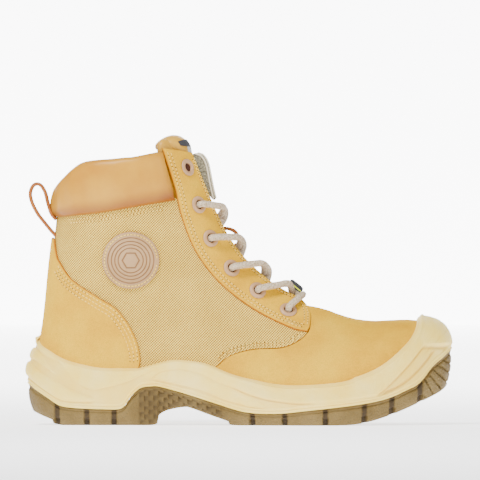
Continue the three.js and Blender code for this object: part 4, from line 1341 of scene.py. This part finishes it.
def build_collar():
    seam, top = collar_edges()
    around_share = np.linspace(0, 1, len(seam))
    ends = end_round(around_share, 0.028)
    out_t = np.linspace(0, 1, 30)
    in_t = np.linspace(1, 0, 24)[1:-1]
    rings, collar_shade = [], []
    for places_low, places_high, end, share in zip(seam, top, ends, around_share):
        t = np.concatenate([out_t, in_t])
        outside = np.concatenate([np.ones(len(out_t)), -np.ones(len(in_t))])
        shape = np.where(t < 0.5, end_round(np.clip(t, 0, 0.5), 0.2),
                         end_round(np.clip(t, 0.5, 1), 0.1))
        middle = -0.9 + 1.0 * t
        reach = np.where(outside > 0, (PAD_OUT - middle) * (0.74 + 0.32 * np.sin(np.pi * t)),
                         PAD_IN)
        ripple = 0.6 * np.sin(share * 61) * np.sin(share * 23 + 1) * np.sin(np.pi * t)
        offset = middle + outside * (reach + ripple) * shape * max(end, 0.05)
        places = places_low + (places_high - places_low) * t[:, None]
        rings.append(on_skin(places, offset))
        # Painted shade: the collar darkens along its bottom by the seam and near both ends.
        near_end = step(0.05 - min(share, 1 - share), 0.05)
        collar_shade.append(0.75 * step(0.2 - t, 0.3) + 0.2 * near_end)
    piece = solid("collar_pad", loop_grid(np.array(rings)))
    collar_shade = np.ravel(collar_shade)
    set_mark(piece, "painted_shade", np.pad(collar_shade, (0, len(piece.data.vertices) - len(collar_shade))))
    return finish_piece(piece, "root", "collar_satin", SATIN, "collar")


def build_lining():
    """Cloth and foam inside the shaft and the heel, from the collar down to the footbed."""
    front = locate([[50, 84], [20, 92], [-6, 114], [-20, 137], [-29, 160], [-35, 190]])
    front = smooth(front, 6)
    low_edge = locate(smooth([[-124, 30], [-90, 27], [-40, 27], [10, 25], [48, 26]], 4))
    half = np.vstack([[[1.3, BACK]], locate(COLLAR_TOP[:-1]) + [[0.12, 0]],
                      [[0.85, 0.62]], front[::-1], low_edge[::-1], [[6.9, BACK]]])
    holes = []
    for i in range(len(EYELETS)):
        hole = around_hole(i, 3.2)
        holes += [hole, mirror_back(hole)]
    piece = panel("shaft_lining", whole(half, mirror_back), -4.1, -2.0, roll=0.6, spacing=3.0,
                  holes=holes)
    return finish_piece(piece, "root", "collar_satin", SATIN, "quarter_lining")


def pad_ring(u, v_start, v_end, outer, inner, count):
    """A closed ring of a pad across the upper, thin where it starts and ends."""
    share = np.linspace(-1, 1, count)
    v = (v_start + v_end) / 2 + (v_end - v_start) / 2 * share
    middle, thick = (outer + inner) / 2, (outer - inner) / 2
    shape = np.sqrt(np.clip(1 - np.abs(share) ** 3, 0.02, 1))
    over, under = (skin(u, v, middle + way * thick * shape) for way in (1, -1))
    return np.vstack([over, under[::-1][1:-1]])


def sheet_pad(u, half_width, outer, inner):
    """A pad that follows the front of the upper: rows along u, half_width in y."""
    rings = []
    for row, half, high, low in zip(u, half_width, outer, inner):
        reach = ridge_places(row, half)[0]
        rings.append(pad_ring(row, -reach, reach, high, low, 25))
    return loop_grid(np.array(rings))


def side_pad(side, rows, outer, inner):
    """A pad on one side of the tongue; each row is u and the y where it starts and ends."""
    rings = []
    for (row, *ends), high, low in zip(rows, outer, inner):
        start, end = -side * ridge_places([row, row], ends)
        rings.append(pad_ring(row, start, end, high, low, 19))
    return loop_grid(np.array(rings))


def build_tongue_low():
    u = np.linspace(9.5, 2.62, 60)
    width = np.interp(u, [2.6, 3.6, 4.4, 9.5], [15.2, 15.5, 19, 17])
    parts = [sheet_pad(u, width, np.full(60, -6.1), np.full(60, -10.4))]
    rows = [[2.75, 13.6, 17], [2.4, 13.6, 22], [1.9, 13.6, 27], [1.3, 14, 30],
            [0.8, 15, 32.5], [0.5, 18, 33], [0.28, 21.8, 31], [0.16, 23, 28]]
    rows = through(rows, np.linspace(0, len(rows) - 1, 40))
    thick = np.interp(rows[:, 0], [0.16, 0.3, 0.7, 1.2, 3], [1.2, 6.5, 9, 5.5, 4.2])
    outer = np.interp(rows[:, 0], [0.16, 0.3, 0.7, 1.2, 3], [-7.5, -5.5, -5.2, -5.8, -6.1])
    for side in (-1, 1):
        parts.append(side_pad(side, rows, outer, outer - thick))
    piece = fused("tongue_pad_low", parts, 1.2, 5)
    return finish_piece(piece, "root", "collar_satin", TONGUE_SATIN, "tongue_base")


LIP = np.array([[-35.2, 191.5], [-35.4, 197.5], [-37.4, 201.6], [-41.4, 205.4],
                [-47.5, 206.8], [-54, 205], [-59.6, 200.8], [-60.4, 197], [-53, 192.5],
                [-43, 189]])


LIP_HALF = 21.0     # half width of the lip


def lip_size(y):
    """Share of its full profile that the lip has at y."""
    return np.sqrt(max(0.02, 1 - (abs(y) / LIP_HALF) ** 3.2))


def lip_ring(flat, y):
    """A ring of the lip at y from side-view points about its centre; its ends bend back."""
    bent = LIP.mean(0) + flat + [-3.0 * (y / LIP_HALF) ** 2, 1.2 * (1 - lip_size(y))]
    return at_y(bent, y)


def lip_rings():
    loop = np.vstack([LIP, LIP[:1]])
    profile = smooth(np.vstack([LIP[-1:], loop, LIP[1:2]]), 6)[6:-7]
    places = np.sin(np.linspace(-np.pi / 2, np.pi / 2, 33)) * (LIP_HALF - 0.2)
    return np.array([lip_ring((profile - LIP.mean(0)) * lip_size(y), y) for y in places])


def build_tongue_top():
    u = np.linspace(2.5, 0.62, 40)
    outer = np.interp(u, [0.6, 1.2, 2.6], [-3.2, -5.6, -6.1])
    inner = np.interp(u, [0.6, 1.2, 2.6], [-13, -11, -10.4])
    stem = sheet_pad(u, np.full(40, 11.4), outer, inner)
    piece = fused("tongue_pad_top", [stem, loop_grid(lip_rings())], 1.0, 6)
    finish_piece(piece, None, "collar_satin", TONGUE_SATIN, "tongue_top")
    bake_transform(piece)
    return piece


build_collar()
build_lining()
build_tongue_low()
build_tongue_top()


# ------------------------------------------------------------------ trim
def slab(profile, y0, y1, edge=0.5, steps=6):
    """A closed side-view profile made solid from y0 to y1, with rounded edges."""
    loop = smooth(np.vstack([profile[-1:], profile, profile[:2]]), steps)[steps:-steps - 1]
    inward = inward_normals(loop)
    rings = []
    turns = np.linspace(0, np.pi / 2, 5)
    first = [(y0 + edge * (1 - math.cos(a)), edge * (1 - math.sin(a))) for a in turns]
    last = [(y1 - edge * (1 - math.cos(a)), edge * (1 - math.sin(a))) for a in turns[::-1]]
    for y, inset in first + last:
        flat = loop + inward * inset
        rings.append(at_y(flat, y))
    return loop_grid(np.array(rings))


GUSSET = np.array([[-34.6, 191.6], [-30.5, 193.8], [-26.3, 192.2], [-23.1, 187.4],
                   [-21.4, 180.4], [-19.6, 171], [-17.4, 161.4], [-20.6, 161.8],
                   [-25.6, 171.5], [-31.6, 184]])
GUSSET_Y = (8.2, 10.4)


def build_gusset(name, side):
    """One side of the tongue's folded gusset, with two cords of piping on its front edge."""
    near, beyond = sorted(side * y for y in GUSSET_Y)
    flap = solid(f"gusset_{name}", slab(GUSSET, near, beyond, 0.8))
    finish_piece(flap, "tongue", "mesh_cloth", MESH_CLOTH, f"tongue_gusset_{name}")
    cords = []
    for inset in (-0.2, 1.5):
        edge = smooth(GUSSET[1:7] - [inset, 0.4 * inset], 10)
        cords.append(tube(at_y(edge, side * (GUSSET_Y[1] + 0.05)), 0.62, 10))
    piping = solid(f"gusset_piping_{name}", joined(cords))
    finish_piece(piping, "tongue", "mesh_cloth", PIPING)


for side_name, side_sign in SIDES.items():
    build_gusset(side_name, side_sign)

KEEPER = np.array([[-14.5, 141], [-8, 141], [-2.6, 138.6], [0.2, 133.6], [1.2, 128.4],
                   [-1.6, 126.4], [-4.6, 127.6], [-3.4, 129.4], [-1.6, 129.2],
                   [-2.4, 133], [-4.4, 136.6], [-8.6, 138.6], [-14, 138.8]])
finish_piece(solid("keeper_loop", slab(KEEPER, -3.6, 3.6)), "root", "strap_leather", STRAP, "lace_keeper")

TAG_MIDDLE = np.array([40, 99])
TAG_ANGLE = math.radians(-39)
TAG_Y = -4


def tag_slab(name, length, height, thick, offset=0.0):
    """A small flat piece with rounded corners, lying along the tag."""
    turns = np.linspace(0, 2 * np.pi, 24, endpoint=False)
    flat = np.stack([np.cos(turns), np.sin(turns)], 1)
    flat = squared(flat, 0.5) * [length / 2, height / 2] + [0, offset]
    cos, sin = math.cos(TAG_ANGLE), math.sin(TAG_ANGLE)
    turned = TAG_MIDDLE + flat @ np.array([[cos, sin], [-sin, cos]])
    return solid(name, slab(turned, TAG_Y - thick, TAG_Y + thick, 0.2, 2))


finish_piece(tag_slab("tag_cloth", 11.4, 4.6, 0.45), "root", "label_cloth", LABEL, "side_tag")
finish_piece(tag_slab("tag_stripe", 10.4, 0.9, 0.6, -0.9), "root", "label_cloth", LIME)


def label_patch(name, angles, half_width, lift):
    """A patch round the front of the tongue's lip, between two angles about its middle."""
    ray = lip_rings()[16][:, ::2] - LIP.mean(0)
    turn = np.arctan2(ray[:, 1], ray[:, 0])
    order = np.argsort(turn)
    wanted = np.radians(np.linspace(*angles, 14))
    reach = np.interp(wanted, turn[order], np.linalg.norm(ray, axis=1)[order])
    grid = []
    for y in np.linspace(-half_width, half_width, 41):
        edge = np.sqrt(max(0.02, 1 - (abs(y) / half_width) ** 16))
        both = []
        for height, way in ((lift, 1), (-1.5, -1)):
            far = (reach * lip_size(y) + height * edge)[::way]
            flat = np.column_stack([far * np.cos(wanted[::way]), far * np.sin(wanted[::way])])
            both.append(lip_ring(flat, y))
        grid.append(np.vstack(both))
    return solid(name, loop_grid(np.array(grid)), 50)


finish_piece(label_patch("label_band", (-2, 30), 18.4, 0.7), "tongue", "label_cloth", LABEL,
             "tongue_label")
finish_piece(label_patch("label_pale", (-38, -2), 12.4, 0.55), "tongue", "label_cloth",
             PALE_LABEL)

LOOP_PATH = np.array([[-131.2, 134.4], [-135, 138.6], [-139.4, 144], [-144.6, 150.8],
                      [-148.5, 158.5], [-149.7, 165.5], [-147.2, 171], [-142.8, 171.2],
                      [-139.2, 166], [-137, 157.5], [-134.6, 150.5], [-131.2, 146.4]])


def strap(path, half_width, half_thick):
    """A flat strap along a side-view path, with rounded edges."""
    line = spaced(smooth(path, 8), 0.8)
    ahead = np.gradient(line, axis=0)
    ahead /= np.linalg.norm(ahead, axis=1, keepdims=True)
    across = np.stack([-ahead[:, 1], ahead[:, 0]], 1)
    turns = np.linspace(0, 2 * np.pi, 40, endpoint=False)
    wide = squared(np.cos(turns), 0.25)
    thick = squared(np.sin(turns), 0.6)
    rings = []
    for point, side in zip(line, across):
        flat = point + side * (thick * half_thick)[:, None]
        rings.append(at_y(flat, wide * half_width))
    return loop_grid(np.array(rings))


heel_loop = solid("heel_loop", strap(LOOP_PATH, 10, 1.25))
finish_piece(heel_loop, None, "strap_leather", STRAP, "pull_loop")
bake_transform(heel_loop)


BADGE_CENTRE = np.array([-77.6, 117.3])
BADGE_RADIUS = 20.3
BADGE_SEAM = 18.4       # radius of its round of stitches
BADGE_RINGS = (16.2, 13.6, 11.2, 8.8)


def badge_lines(r, angle):
    """1 in the badge's sunk lines: three rings, the rim's inner edge and a plain hexagon."""
    flat = r * np.cos(np.mod(angle, np.pi / 3) - np.pi / 6)
    lines = groove(flat - 5.2, 0.8)
    for ring in BADGE_RINGS:
        lines = np.maximum(lines, groove(r - ring, 0.6))
    return lines


def badge_height(r, angle):
    """Height of the badge's face."""
    height = 1.75 + 0.3 * step(r - BADGE_RINGS[0], 0.5) - 0.55 * badge_lines(r, angle)
    rim = np.clip((BADGE_RADIUS - r) / 0.9, 0, 1)
    return 0.2 + (height - 0.2) * np.sqrt(1 - (1 - rim) ** 2)


def build_badge():
    radii = np.concatenate([np.arange(0.4, 19.4, 0.27), np.linspace(19.4, BADGE_RADIUS, 8)])
    turns = np.linspace(0, 2 * np.pi, 144, endpoint=False)
    r, a = np.meshgrid(radii, turns, indexing="ij")
    flat = BADGE_CENTRE + np.stack([r * np.cos(a), r * np.sin(a)], -1).reshape(-1, 2)
    places = locate(flat)
    face = on_skin(places, badge_height(r, a).ravel())
    back = on_skin(places, 0.2)
    grid = np.concatenate([face.reshape(len(radii), -1, 3),
                           back.reshape(len(radii), -1, 3)[-2::-20]])
    piece = make("badge_disc", *loop_grid(grid))
    # Painted shade in the badge's sunk lines.
    lines = badge_lines(r, a).ravel()
    set_mark(piece, "painted_shade", np.pad(0.8 * lines, (0, len(piece.data.vertices) - len(lines))))
    finish_piece(upright(piece), "root", "badge_rubber", BADGE, "badge")
    circle = BADGE_CENTRE + BADGE_SEAM * np.stack([np.cos(turns), np.sin(turns)], 1)
    places = locate(np.vstack([circle, circle[:1]]))
    threads("badge_stitches", stitch_row(places, 0, 2.0, pitch=2.4, length=1.8),
            "badge_rubber")


build_badge()

PLAIN_NODES = {
    "footbed": FELT, "insole_board": FELT, "vamp_lining": FELT, "heel_stiffener": FELT,
    "penetration_plate": STEEL, "steel_toe_cap": STEEL, "toe_cap_edge_strip": BLACK_RUBBER,
}
for node_name, material in PLAIN_NODES.items():
    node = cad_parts[node_name]
    node.data.materials.clear()
    node.data.materials.append(material)


# ------------------------------------------------------------------ room and lights
FLOOR_GLOW, FAR_GLOW = 1.8, 6.3
ROOM = 24.0
WALL_Y = 9.0
ROOM_LIGHT = 0.42


def pale_room(name, near, far):
    """A pale surface that shines by itself, more so behind the boot."""
    made, tree, shader = finish(name, 0.9, Base_Color=(0.8, 0.8, 0.81, 1.0))
    spot = tree.nodes.new("ShaderNodeSeparateXYZ")
    feed(spot, Vector=place(tree))
    share = tree.nodes.new("ShaderNodeMapRange")
    share.interpolation_type = "SMOOTHSTEP"
    feed(share, Value=spot.outputs["Y"], From_Min=-0.5, From_Max=2.5, To_Min=near, To_Max=far)
    feed(shader, Emission_Color=(1.0, 1.0, 1.0, 1.0), Emission_Strength=share.outputs[0])
    return made


ground = make("floor", np.array([[-1, -1], [1, -1], [1, 1], [-1, 1]]) @ np.eye(2, 3)
              * ROOM / MM / 2, [(0, 1, 2, 3)])
ground.data.materials.append(pale_room("pale_floor", FLOOR_GLOW, FAR_GLOW - 1.0))
wall = make("wall", np.array([[-4, WALL_Y, -0.2], [4, WALL_Y, -0.2], [4, WALL_Y, 4],
                              [-4, WALL_Y, 4]]) / MM, [(0, 1, 2, 3)])
wall.data.materials.append(pale_room("pale_wall", FAR_GLOW, FAR_GLOW))
world = bpy.data.worlds.new("room")
bpy.context.scene.world = world
world.use_nodes = True
feed(world.node_tree.nodes["Background"], Color=(1, 1, 1, 1), Strength=ROOM_LIGHT)


def lamp(name, at, size, power, aim=(0, 0, 0.09)):
    """A soft square lamp turned to the boot."""
    data = bpy.data.lights.new(name, "AREA")
    data.size = size
    data.energy = power
    made = linked(name, data)
    made.location = at
    towards = Vector(aim) - Vector(at)
    made.rotation_euler = towards.to_track_quat("-Z", "Y").to_euler()


lamp("key", (-0.55, -1.0, 1.55), 0.6, 52)
lamp("fill", (1.3, -1.2, 0.9), 1.2, 10)
